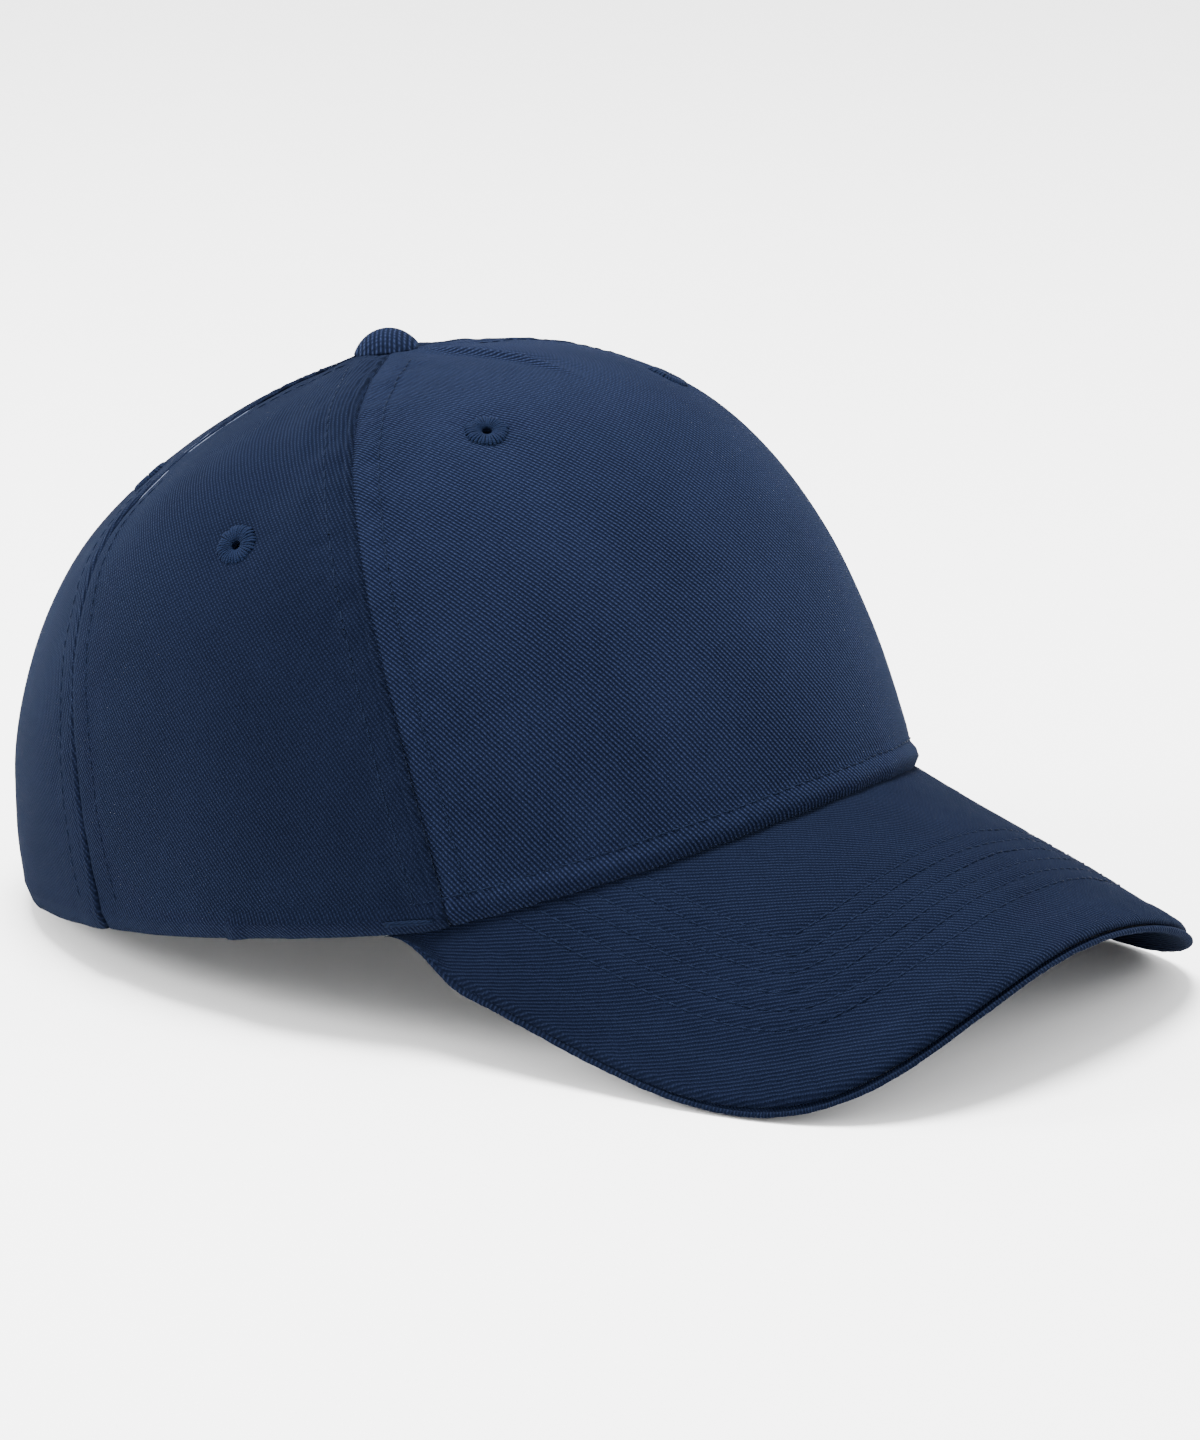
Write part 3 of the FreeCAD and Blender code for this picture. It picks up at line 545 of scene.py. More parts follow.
def arch_outline(offset, count=240):
    """The rear opening's outline, offset outwards, as points on the crown."""
    radius = OPENING_HALF_WIDTH + offset
    arc = math.pi * radius
    way = np.linspace(0.0, 2 * OPENING_STRAIGHT + arc, count)
    turn = np.clip((way - OPENING_STRAIGHT) / radius, 0.0, math.pi)
    x = -radius * np.cos(turn)
    z = OPENING_STRAIGHT + radius * np.sin(turn)
    z = np.where(way < OPENING_STRAIGHT, way, z)
    z = np.where(way > OPENING_STRAIGHT + arc, 2 * OPENING_STRAIGHT + arc - way, z)
    rise = rise_at(np.maximum(z, 0.0))
    width = crown(90.0, rise)[..., 0]
    angle = 180.0 - np.degrees(np.arcsin(np.clip(x / width, -1, 1)))
    return crown(angle, rise)


arch_line = arch_outline(0.0, 500)
eyelet_points = {}
for place, (angle, rise) in EYELETS.items():
    for side in (-1, 1):
        eyelet_points[place, side] = crown(side * angle, rise)


def seam_relief(distance, along, width, seed, strength, proud):
    """Height across a topstitched seam: a crease at the seam, a padded ridge over the seam
    allowance, a groove at the stitch row and puckers between.  The proud side's edge stands
    up sharply beside the crease, with two thin folds."""
    if proud:
        crease = -0.5 * bell(distance, 0.28)
        ridge = 0.50 * smooth(distance / 0.55) * (1.0 - smooth((distance - width) / 1.6))
        ridge += 0.14 * bell(distance - 0.9, 0.35) - 0.16 * bell(distance - 1.7, 0.35)
        ridge += 0.10 * bell(distance - 2.5, 0.4)
    else:
        crease = -0.66 * bell(distance, 0.85)
        ridge = 0.34 * smooth(distance / 1.9) * (1.0 - smooth((distance - width) / 1.2))
    groove = -0.24 * bell(distance - width, 0.6)
    pull = soft_noise(along, distance, 4.6, seed) * 0.30 + soft_noise(along, distance, 2.2,
                                                                     seed + 1) * 0.14
    pucker = pull * smooth(distance / 1.0) * (1.0 - smooth((distance - width - 2.5) / 5.0))
    return (crease + ridge + groove) * strength + pucker * strength


def soft_dents(grid):
    """Broad soft hollows that a worn cotton crown takes, away from the stiffened front."""
    total = np.zeros(grid.shape[:-1])
    dents = [(-72.0, 0.60, 20.0, -1.6, 0.8), (-100.0, 0.36, 26.0, 0.9, -0.4),
             (-132.0, 0.62, 24.0, -1.8, 0.5), (118.0, 0.55, 26.0, -1.7, -0.6),
             (76.0, 0.72, 18.0, -1.1, 0.5), (160.0, 0.75, 20.0, -1.2, 0.2),
             (-165.0, 0.80, 16.0, 0.9, 0.3), (-126.0, 0.80, 30.0, -1.9, 0.0),
             (126.0, 0.80, 30.0, -1.9, 0.0)]
    for angle, rise, reach, height, lean_share in dents:
        gap = grid - crown(angle, rise)
        skew = gap[..., 2] + lean_share * (gap[..., 0] + gap[..., 1])
        far = np.sqrt((gap ** 2).sum(-1) + 1.6 * skew ** 2)
        total += height * bell(far, reach)
    return total


def relief(grid, seams, seed, stiff):
    """Normal displacement of a crown panel's outer face in mm; each seam is a curve, how
    strongly it shows and whether this panel's edge is the proud one."""
    height = np.zeros(grid.shape[:-1])
    for index, (curve, strength, proud) in enumerate(seams):
        distance, along = nearest(grid, curve)
        height += seam_relief(distance, along, STITCH_OFF, seed + 10 * index, strength, proud)
    u = path_length(grid[:, grid.shape[1] // 2])[:, None]
    v = grid[..., 2]
    waves = soft_noise(u + 0 * v, v, 27.0, seed + 5) * 0.55
    waves += soft_noise(u + 0 * v, v, 11.0, seed + 6) * 0.18
    height += waves * (0.35 if stiff else 1.0)
    for point in eyelet_points.values():
        far = np.linalg.norm(grid - point, axis=-1)
        height -= 0.75 * bell(far, 6.2)
        swirl = np.arctan2(grid[..., 2] - point[2], grid[..., 0] - point[0])
        height += 0.10 * np.sin(9 * swirl) * bell(far - 7.5, 3.0)
    return height


def arch_low(first, last, gap, shares):
    """The rise at which each column of a back panel meets the rear opening."""
    lows = np.zeros(len(shares))
    for index, share in enumerate(shares):
        rises = np.linspace(0.0, 0.75, 400)
        angle = mix(first.angle(rises, gap), last.angle(rises, -gap), share)
        points = crown(angle, rises)
        x, z = points[:, 0], points[:, 2]
        inside = (np.abs(x) < OPENING_HALF_WIDTH) & (points[:, 1] > 0)
        top = OPENING_STRAIGHT + np.sqrt(np.maximum(OPENING_HALF_WIDTH ** 2 - x ** 2, 0.0))
        hidden = inside & (z < top)
        lows[index] = rises[np.nonzero(hidden)[0][-1]] if hidden.any() else 0.0
    return lows


# ======================================================================================
# Build the crown
# ======================================================================================

crown_plain, crown_moved, crown_inner_moved = [], [], []
crown_parts = {}


def crown_panel(name, first, last, gap, material, seams, seed, stiff=False, over_visor=False,
                arch=False):
    """One panel of the crown between two seams, as a closed sheet with its relief."""
    widest = np.linalg.norm(crown(first.angle(0.2), 0.2) - crown(last.angle(0.2), 0.2))
    across = int(max(widest, 60.0) * 1.2)
    share_across = np.linspace(0.0, 1.0, across)
    share_across -= 0.68 * np.sin(math.tau * share_across) / math.tau
    share_up = np.linspace(0.0, 1.0, 150)[None, :]
    foot = mix(first.angle(0.0, gap), last.angle(0.0, -gap), share_across)
    low = bottom_rise(foot)
    if arch:
        low = np.maximum(low, arch_low(first, last, gap, share_across))
    rise = mix(low[:, None], TOP_RISE, share_up)
    angle = mix(first.angle(rise, gap), last.angle(rise, -gap), share_across[:, None])
    grid = crown(angle, rise)
    normal = grid_normals(grid)
    if ((grid - np.array([0.0, 10.0, 30.0])) * normal).sum() < 0:
        normal = -normal
    height = relief(grid, seams, seed, stiff)
    if not stiff:
        front_distance = np.minimum(*[nearest(grid, seam.curve())[0]
                                      for seam in FRONT_SEAM.values()])
        height += soft_dents(grid) * smooth((front_distance - 4.0) / 14.0)
    height += TOP_LIFT * bell(np.linalg.norm(grid - crown(0.0, 1.0), axis=-1), 27.0)
    if stiff:
        distance, along = nearest(grid, dart)
        fade = smooth(along / 26.0)
        height += (0.95 * bell(distance, 1.0) - 0.55 * bell(distance - 3.0, 2.0)) * fade
    if over_visor:
        distance, along = nearest(grid, bottom_line)
        roll = 0.9 * np.sin(math.pi * np.clip(distance / VISOR_ROLL, 0.0, 1.0)) ** 0.8
        roll -= 1.0 * bell(distance, 0.9) + 0.4 * bell(distance - VISOR_ROLL, 0.7)
        pucker = soft_noise(along, distance, 5.2, seed + 40) * 0.32
        height += roll + pucker * smooth(1.0 - distance / 13.0)
    for curve in [foot_line] * (not stiff) + [arch_line] * arch:
        distance, along = nearest(grid, curve)
        height += -0.35 * bell(distance, 1.0) + 0.28 * bell(distance - 3.0, 1.8)
        height += soft_noise(along, distance, 5.5, seed + 60) * 0.2 * smooth(
            1.0 - distance / 11.0)
    height[0] -= 0.4
    height[-1] -= 0.4
    height = np.clip(height, -2.9, 1.9)
    height = mix(height, TOP_LIFT, 0.7 * smooth((share_up - 0.955) / 0.045))
    outer = grid + normal * height[..., None]
    inner = grid - normal * (TWILL - 0.55 * height)[..., None]
    for kept, points in ((crown_plain, grid), (crown_moved, outer - grid),
                         (crown_inner_moved, inner - grid)):
        kept.append(points.reshape(-1, 3))
    uv = grid_uv(grid)
    profile_rise = np.linspace(0.0, 1.0, 400)
    middle = mix(first.angle(profile_rise), last.angle(profile_rise), 0.5)
    profile = path_length(crown(middle, profile_rise))
    uv[..., 1] = np.interp(rise, profile_rise, profile)
    crown_parts[name] = (sheet_object(name, outer, inner, uv, material), flat_area(outer))


front_seams = [(seam.curve(), 1.0, False) for seam in FRONT_SEAM.values()]
crown_panel("cloth_front_panel", FRONT_SEAM[-1], FRONT_SEAM[1], GAP, FRONT_TWILL, front_seams,
            11, stiff=True, over_visor=True)
for side, word in ((-1, "right"), (1, "left")):
    pair = [(FRONT_SEAM[side].curve(), 1.0, True), (BACK_SEAM[side].curve(), 0.42, False)]
    crown_panel(f"cloth_side_panel_{word}", FRONT_SEAM[side], BACK_SEAM[side], side * GAP,
                SIDE_TWILL[side], pair, 100 + 7 * side, over_visor=True)
    pair = [(BACK_SEAM[side].curve(), 0.42, True),
            (CENTRE_BACK[side].curve(0.3), 0.7, False)]
    crown_panel(f"cloth_back_panel_{word}", BACK_SEAM[side], CENTRE_BACK[side], side * GAP,
                BACK_TWILL[side], pair, 200 + 7 * side, arch=True)

all_plain = np.concatenate(crown_plain)
all_moved = np.concatenate(crown_moved)
all_inner = np.concatenate(crown_inner_moved)
tree = KDTree(len(all_plain))
for index, point in enumerate(all_plain):
    tree.insert(point, index)
tree.balance()


def follow(points, moves):
    """Carries ideal crown points along with the cloth."""
    flat = np.asarray(points, float).reshape(-1, 3)
    out = np.empty_like(flat)
    for k, point in enumerate(flat):
        found = tree.find_n(point, 4)
        weight = np.array([1.0 / (0.05 + item[2]) for item in found])
        rows = [item[1] for item in found]
        out[k] = point + (moves[rows] * weight[:, None]).sum(0) / weight.sum()
    return out.reshape(np.shape(points))


def crown_normals(points):
    """Outward directions of the crown near some of its points."""
    flat = np.asarray(points).reshape(-1, 3)
    share = np.clip(flat[:, 2] / HEIGHT, 1e-4, 0.9999)
    rise = np.clip(rise_at(flat[:, 2]), 0.002, 0.994)
    drift = SETBACK * share ** SETBACK_POWER
    reach = {}
    for name, size in (("front", FRONT_DEPTH), ("back", BACK_DEPTH), ("side", HALF_WIDTH)):
        plan, up = PROFILES[name]
        reach[name] = size * (1 - share ** up) ** (1 / plan)
    ahead = drift - flat[:, 1]
    depth = np.where(ahead > 0, reach["front"], reach["back"])
    angle = np.degrees(np.arctan2(flat[:, 0] / reach["side"], ahead / depth))
    step, small = 0.4, 0.002
    across = crown(angle + step, rise) - crown(angle - step, rise)
    up = crown(angle, rise + small) - crown(angle, rise - small)
    return unit(np.cross(across, up)).reshape(np.shape(points))


def tidy_curve(curve, step=1.2, jitter=0.0, seed=0):
    """The same curve with even steps, gently wavering as sewn lines do."""
    along = path_length(curve)
    places = np.linspace(0.0, along[-1], max(int(along[-1] / step), 4))
    even = sample(places, along, curve)
    if jitter:
        sway = soft_noise(places, places * 0.0, 9.0, seed) * jitter
        tangent = np.gradient(even, axis=0)
        side = unit(np.cross(tangent, crown_normals(even)))
        even = even + side * sway[:, None]
    return even


# --- Topstitching ----------------------------------------------------------------------

crown_runs = []


def sew_crown(curve, seed):
    even = tidy_curve(curve, 1.0, 0.16, seed)
    crown_runs.extend(stitch_runs(follow(even, all_moved), crown_normals(even), 3.1, 2.45,
                                  -0.04))


for side in (-1, 1):
    for offset in (-STITCH_OFF, STITCH_OFF):
        for index, seam in enumerate((FRONT_SEAM[side], BACK_SEAM[side])):
            start = max(float(bottom_rise(seam.angle(0.05, offset))), 0.012)
            sew_crown(seam.curve(start, 0.952, offset), 300 + index + side)
    sew_crown(CENTRE_BACK[1].curve(0.46, 0.95, side * STITCH_OFF), 320 + side)
visor_row_angles = np.linspace(-66, 66, 500)
visor_row = crown(visor_row_angles, rise_at(arch_at(
    crown(visor_row_angles, 0.0)[..., 0]) + VISOR_ROLL * 0.99))
sew_crown(visor_row, 331)
sew_crown(arch_outline(6.0), 345)
# Bar tacks where the side panels meet the visor's corners.
for side in (-1, 1):
    for line in range(5):
        reach = 62.9 + np.linspace(0.0, 6.3, 12)
        lift = 1.9 + 0.22 * line
        path = crown(side * reach, rise_at(np.full(12, lift)))
        crown_runs.append(follow(path, all_moved) + crown_normals(path)
                          * (0.02 + 0.1 * (line % 2)))
CROWN_STITCHES = tubes("crown_topstitching", crown_runs, 0.19, THREAD)


# --- Eyelets ---------------------------------------------------------------------------

def lathe(profile, centre, side, up, normal, sides=48):
    """A closed ring round an axis from (radius, height) pairs."""
    vertices, faces = [], []
    count = len(profile)
    for k in range(sides):
        turn = math.tau * k / sides
        spoke = math.cos(turn) * side + math.sin(turn) * up
        vertices.extend(centre + spoke * radius + normal * height for radius, height in profile)
        here, after = k * count, ((k + 1) % sides) * count
        for j in range(count):
            up_one = (j + 1) % count
            faces.append((here + j, after + j, after + up_one, here + up_one))
    return vertices, faces


SPOKES, SPOKE_STEPS = 34, 7
eyelet_objects = {}
for (place, side_sign), point in eyelet_points.items():
    normal = crown_normals(point[None, :])[0]
    centre = follow(point[None, :], all_moved)[0] + normal * 0.25
    side_way = unit(np.cross([0.0, 0.0, 1.0], normal))
    up_way = np.cross(normal, side_way)
    word = "right" if side_sign < 0 else "left"
    cloth = TWILL + (BUCKRAM if place == "front" else 0.0)
    profile = [(HOLE_RADIUS, -cloth * 0.5), (1.7, 0.25), (2.9, 0.55), (4.1, 0.25), (4.4, -0.3),
               (4.4, -cloth - 0.2), (3.0, -cloth - 0.9), (1.6, -cloth - 0.5)]
    vertices, faces = lathe(profile, centre, side_way, up_way, normal)
    wander = rng.uniform(-0.5, 0.5, (2, SPOKES))
    for face_sign, base in ((1.0, 0.0), (-1.0, -cloth)):
        for k in range(SPOKES):
            turn = math.tau * (k + 0.28 * wander[0, k]) / SPOKES
            spoke = math.cos(turn) * side_way + math.sin(turn) * up_way
            rings = []
            for t in np.linspace(0.0, 1.0, SPOKE_STEPS):
                radius = mix(HOLE_RADIUS * 0.95, EYELET_RADIUS + 0.42 * wander[1, k], t)
                lift = 0.86 * math.sin(math.pi * min(0.06 + t * 0.95, 1.0)) ** 0.6 - 0.25
                fat = min(math.pi * radius / SPOKES * 1.05, 0.40) * (0.62 if t == 1.0 else 1.0)
                rings.append((centre + spoke * radius + normal * (base + face_sign * lift),
                              np.cross(normal, spoke), normal, fat))
            add_tube(vertices, faces, rings)
    eyelet_objects[place, word] = new_object(f"sewn_eyelet_{place}_{word}",
                                             to_row(np.array(vertices)), faces, EYELET_THREAD)


def open_eyelets(made):
    """Takes the cloth out of the middle of each eyelet."""
    mesh = made.data
    centres = to_row(follow(np.array(list(eyelet_points.values())), all_moved))
    points = np.empty(len(mesh.vertices) * 3)
    mesh.vertices.foreach_get("co", points)
    points = points.reshape(-1, 3)
    near = np.zeros(len(points), bool)
    for centre in centres:
        near |= np.linalg.norm(points - centre, axis=1) < 2.9 * MM
    work = bmesh.new()
    work.from_mesh(mesh)
    work.verts.ensure_lookup_table()
    doomed = [f for f in work.faces if any(near[v.index] for v in f.verts)]
    bmesh.ops.delete(work, geom=doomed, context="FACES")
    work.to_mesh(mesh)
    work.free()


for made, area in crown_parts.values():
    open_eyelets(made)


# --- Covered button --------------------------------------------------------------------

BUTTON_RADIUS, BUTTON_HEIGHT = 7.0, 4.6
ball = (BUTTON_RADIUS ** 2 + BUTTON_HEIGHT ** 2) / (2 * BUTTON_HEIGHT)
button_centre = np.array([0.0, SETBACK, HEIGHT + 1.6])


def button_skin(inset):
    """Rings of the button's cover from its crown over the rim and in underneath."""
    rings, sides = 30, 96
    turn = np.linspace(0.0, 2 * math.pi, sides, endpoint=False)
    top = math.asin(BUTTON_RADIUS / ball)
    grid = np.zeros((sides, rings, 3))
    for j in range(rings):
        share = j / (rings - 1)
        if share < 0.84:
            lean_angle = top * max(share, 0.004) / 0.84
            radius = (ball - inset) * math.sin(lean_angle)
            height = BUTTON_HEIGHT - inset - (ball - inset) * (1 - math.cos(lean_angle))
        else:
            under = (share - 0.84) / 0.16
            radius = BUTTON_RADIUS - inset + 0.2 * math.sin(under * math.pi) - 1.3 * under ** 2
            height = -0.9 * under + inset * under
        gather = 0.16 * np.sin(13 * turn + 0.6 * np.sin(3 * turn)) * smooth((share - 0.5) / 0.4)
        grid[:, j, 0] = (radius + gather) * np.cos(turn)
        grid[:, j, 1] = (radius + gather) * np.sin(turn)
        grid[:, j, 2] = height + 0.12 * np.sin(2 * turn + 1.0) * share
    return grid


def button_mesh():
    skins = [button_skin(0.0), button_skin(0.7)]
    sides, rings = skins[0].shape[:2]
    vertices, faces, uv = [], [], []
    for index, skin in enumerate(skins):
        start = len(vertices)
        vertices.extend(p + button_centre for p in skin.reshape(-1, 3))
        uv.extend((p[0], p[1]) for p in skin.reshape(-1, 3))
        order = 1 if index == 0 else -1
        for i in range(sides):
            for j in range(rings - 1):
                a, b = start + i * rings + j, start + ((i + 1) % sides) * rings + j
                faces.append((a, a + 1, b + 1, b)[::order])
        faces.append(tuple(start + i * rings for i in range(sides))[::order])
    inner = sides * rings
    for i in range(sides):
        a, b = i * rings + rings - 1, ((i + 1) % sides) * rings + rings - 1
        faces.append((a, inner + a, inner + b, b))
    return new_object("cloth_button", to_row(np.array(vertices)), faces, BUTTON_TWILL,
                      np.array(uv) * MM)


BUTTON = button_mesh()


# ======================================================================================
# Visor
# ======================================================================================

VISOR_LENGTH, VISOR_DROP, VISOR_BEND, EDGE_PITCH = 52.7, 28.25, 80.3, 35.2
CORNER, SIDE_RUN, TOE, FRONT_RUN, HUMP = 70.0, 75.4, 4.75, 84.2, 1.93
COVER, BOARD, EDGE_BLEND = 0.7, 1.8, 0.08
ROLL_RADIUS = COVER + BOARD / 2
ROLL_TURNS = np.linspace(0.0, math.pi / 2, 9)[1:]
FACE_LINES = 76
VISOR_END = 0.990          # share of its half width at which the visor stops
VISOR_ROWS = [16.0 + 4.4 * k for k in range(6)]


def visor_inner(share):
    angle = np.asarray(share, float) * CORNER
    edge = (TWILL,) * 4
    foot = crown(angle, bottom_rise(angle, edge), edge)
    return np.stack([foot[..., 0], foot[..., 1], arch_at(foot[..., 0]) - 0.1], -1)


def visor_outer(share):
    share = np.asarray(share, float)
    side = np.where(share < 0, -1.0, 1.0)
    corner = visor_inner(1.0)
    toe = math.radians(TOE)
    tip = np.array([0.0, -(FRONT_DEPTH + VISOR_LENGTH)])
    control = [corner[:2], corner[:2] + SIDE_RUN * np.array([-math.sin(toe), -math.cos(toe)]),
               tip + np.array([FRONT_RUN, 0.0]), tip]
    along = 1.0 - np.abs(share)
    weights = [(1 - along) ** 3, 3 * (1 - along) ** 2 * along, 3 * (1 - along) * along ** 2,
               along ** 3]
    plan = sum(w[..., None] * c for w, c in zip(weights, control))
    x, y = plan[..., 0], plan[..., 1]
    sag = VISOR_BEND - np.sqrt(VISOR_BEND ** 2 - np.minimum(x, 0.99 * VISOR_BEND) ** 2)
    height = (ARCH_HEIGHT - VISOR_DROP - sag
              + math.tan(math.radians(EDGE_PITCH)) * (y + FRONT_DEPTH + VISOR_LENGTH))
    height = mix(corner[2], height, smooth(along / EDGE_BLEND))
    return np.stack([side * x, y, height], -1)


corner_crowding = 0.93 * math.pi / 2
visor_shares = np.sin(np.linspace(-1, 1, 331) * corner_crowding) / math.sin(
    corner_crowding) * VISOR_END
inner_edge, outer_edge = visor_inner(visor_shares), visor_outer(visor_shares)
edge_length = np.linalg.norm(outer_edge - inner_edge, axis=1)
# The visor thins out to its sewn corners, where it slips under the crown's edge.
thinning = 0.10 + 0.90 * smooth((VISOR_END - np.abs(visor_shares)) / 0.07)
roll_radius = ROLL_RADIUS * thinning


def visor_grid(count, depth, start):
    """Points on one face of the visor at a depth under its top, from the allowance inside
    the crown out to the rolled edge."""
    end = np.maximum(edge_length - roll_radius, 0.35 * edge_length)
    out = np.linspace(0.0, 1.0, count)[None, :] * ((end + start) / edge_length)[:, None]
    out = out - start / edge_length[:, None]
    hump = HUMP * 4.0 * out * (1.0 - out) * (1.0 - visor_shares[:, None] ** 2)
    grid = inner_edge[:, None] + (outer_edge - inner_edge)[:, None] * out[..., None]
    grid[..., 2] += hump - depth * thinning[:, None]
    return grid


def visor_half(top):
    """One cover: its face, then a quarter turn round the edge to the middle of the edge."""
    flat = visor_grid(FACE_LINES, 0.0 if top else 2 * COVER + BOARD, 1.6)
    out = unit(flat[:, -1] - flat[:, -2])
    lift = np.array([0.0, 0.0, 1.0 if top else -1.0])
    lift = unit(lift - out * (out @ lift)[:, None])
    radius = roll_radius[:, None]
    hub = flat[:, -1] - lift * radius
    roll = [hub + radius * (math.sin(t) * out + math.cos(t) * lift) for t in ROLL_TURNS]
    grid = np.concatenate([flat, np.stack(roll, 1)], 1)
    normal = grid_normals(grid)
    if (normal[..., 2].mean() > 0) != top:
        normal = -normal
    return grid, normal


def visor_relief(grid, seed, strength):
    distance, along = nearest(grid, outer_edge)
    height = np.zeros(grid.shape[:-1])
    inside = np.linalg.norm(grid - grid[:, :1], axis=-1)
    for index, offset in enumerate(VISOR_ROWS):
        height -= 0.30 * bell(distance - offset, 0.55)
        pucker = soft_noise(along, distance * 0.0 + 11 * index, 3.6, seed + index)
        height += 0.14 * pucker * bell(distance - offset, 1.5)
    between = soft_noise(along * 0.6, distance * 2.2, 6.5, seed + 20)
    height += 0.13 * between * smooth((distance - 9.0) / 5.0)
    height += 0.30 - 0.24 * smooth((distance - 7.4) / 1.2) * (
        1 - smooth((distance - 12.0) / 5.0))
    ribs = soft_noise(along, distance * 0.25, 1.5, seed + 30)
    height += 0.13 * ribs * (1.0 - smooth((distance - 4.5) / 4.0))
    height += 0.16 * soft_noise(along, distance, 8.0, seed + 31) * (
        1.0 - smooth((distance - 8.0) / 4.0))
    height -= 0.3 * bell(inside, 1.2)
    return height * strength * thinning[:, None], distance


visor_moved = {}
visor_objects = {}
for top, name, cloth in ((True, "cloth_visor_top", VISOR_TWILL),
                         (False, "cloth_visor_under", UNDER_TWILL)):
    grid, normal = visor_half(top)
    height, edge_distance = visor_relief(grid, 400 if top else 450, 1.0 if top else 0.8)
    seam_fade = np.ones(grid.shape[1])
    seam_fade[-1] = 0.0
    seam_fade[-2] = 0.6
    outer = grid + normal * (height * seam_fade[None, :])[..., None]
    outer[:, -1] = grid[:, -1] - normal[:, -1] * (0.18 * thinning[:, None])
    inner = grid - normal * (COVER * 0.9 * thinning[:, None, None])
    uv = np.stack([VISOR_BEND * np.arcsin(np.clip(grid[..., 0] / VISOR_BEND, -0.99, 0.99)),
                   -1.12 * grid[..., 1]], -1)
    ahead = unit((outer_edge - inner_edge)[:, :2] * np.array([1.0, -1.0]))
    for k, turn in enumerate(ROLL_TURNS):
        uv[:, FACE_LINES + k] = uv[:, FACE_LINES - 1] + ahead * (roll_radius * turn)[:, None]
    made = sheet_object(name, outer, inner, uv, cloth)
    visor_objects[top] = (made, flat_area(outer))
    visor_moved[top] = (grid, outer, normal, edge_distance)


board_skins = [visor_grid(40, depth, 0.0)[np.abs(visor_shares) < 0.90]
               for depth in (COVER + 0.1, COVER + BOARD - 0.1)]
BOARD_PIECE = sheet_object("board_core", *board_skins, grid_uv(board_skins[0]), BOARD_PLASTIC)


def visor_rows(top):
    """Concentric stitch rows, a fixed distance inside the outer edge."""
    grid, outer, normal, distance = [part[:, FACE_LINES - 1::-1] for part in visor_moved[top]]
    lines = np.arange(FACE_LINES)
    runs = []
    for index, offset in enumerate(VISOR_ROWS):
        points, outs = [], []
        for i, row in enumerate(distance):
            wave = 0.22 * math.sin(0.11 * i * (1 + 0.05 * index) + 1.7 * index)
            place = np.interp(offset + wave, row, lines)
            clear = np.linalg.norm(grid[i] - grid[i, -1], axis=-1)
            if row[-1] < offset + 0.5 or np.interp(place, lines, clear) < 2.0:
                continue
            points.append(sample(place, lines, outer[i]))
            outs.append(sample(place, lines, normal[i]))
        if len(points) > 4:
            runs.extend(stitch_runs(np.array(points), np.array(outs), 3.2, 2.5, -0.06))
    return runs


VISOR_STITCHES = tubes("visor_stitching", visor_rows(True) + visor_rows(False), 0.24,
                       VISOR_THREAD)


# ======================================================================================
# Inside: stiffener, tapes, binding, sweatband, label
# ======================================================================================

inside_objects = {}


def crown_strip(name, first, last, shifts, depths, rises, counts, material, seed, ripple=0.15):
    """A layer inside the crown between two seams, carried by the cloth it is sewn to."""
    across, up = counts
    share_across = np.linspace(0.0, 1.0, across)[:, None]
    share_up = np.linspace(0.0, 1.0, up)[None, :]
    foot = mix(first.angle(rises[0], shifts[0]), last.angle(rises[0], shifts[1]), share_across)
    low = np.maximum(bottom_rise(foot), rises[0])
    rise = mix(low, rises[1], share_up)
    angle = mix(first.angle(rise, shifts[0]), last.angle(rise, shifts[1]), share_across)
    face = crown(angle, rise)
    normal = crown_normals(face)
    moved = follow(face, all_inner) + normal * TWILL
    uv = grid_uv(face)
    wave = soft_noise(uv[..., 0], uv[..., 1], 6.0, seed) * ripple
    outer = moved - normal * (depths[0] + 0.02 + np.maximum(wave, 0)[..., None] * 0.5)
    inner = moved - normal * (depths[1] + wave[..., None] + ripple * 0.5)
    inside_objects[name] = (sheet_object(name, outer, inner, uv, material), flat_area(inner))


crown_strip("cloth_buckram", FRONT_SEAM[-1], FRONT_SEAM[1], (8.0, -8.0),
            (TWILL, TWILL + BUCKRAM), (0.0, LINING_TOP_RISE), (70, 60), BUCKRAM_CLOTH, 500, 0.1)
for side, word in ((-1, "right"), (1, "left")):
    for label, seam, top in (("front", FRONT_SEAM, LINING_TOP_RISE), ("side", BACK_SEAM, 0.8)):
        crown_strip(f"cloth_{label}_tape_{word}", seam[side], seam[side], (-6.0, 6.0),
                    (TWILL, TWILL + TAPE), (0.0, top), (9, 110), TAPE_CLOTH, 510 + side)
binding_top = OPENING_STRAIGHT + OPENING_HALF_WIDTH + BINDING_WIDTH
crown_strip("cloth_centre_tape", CENTRE_BACK[1], CENTRE_BACK[1], (-6.0, 6.0),
            (TWILL, TWILL + TAPE), (float(rise_at(binding_top + 0.05)), LINING_TOP_RISE),
            (9, 60), TAPE_CLOTH, 520)
open_eyelets(inside_objects["cloth_buckram"][0])

# Facing round the rear opening: follows the cut edge on the inside.
binding = np.stack([arch_outline(offset, 170) for offset in np.linspace(0.15, 7.9, 9)], 1)
binding_normal = crown_normals(binding)
binding_moved = follow(binding, all_inner) + binding_normal * TWILL
binding_uv = grid_uv(binding)
wave = soft_noise(binding_uv[..., 1], binding_uv[..., 0], 5.0, 530) * 0.15
made = sheet_object("cloth_binding", binding_moved - binding_normal * (TWILL + 0.02),
                    binding_moved - binding_normal * (TWILL + TAPE + wave[..., None]),
                    binding_uv, BAND_TWILL)
inside_objects["cloth_binding"] = (made, flat_area(binding))

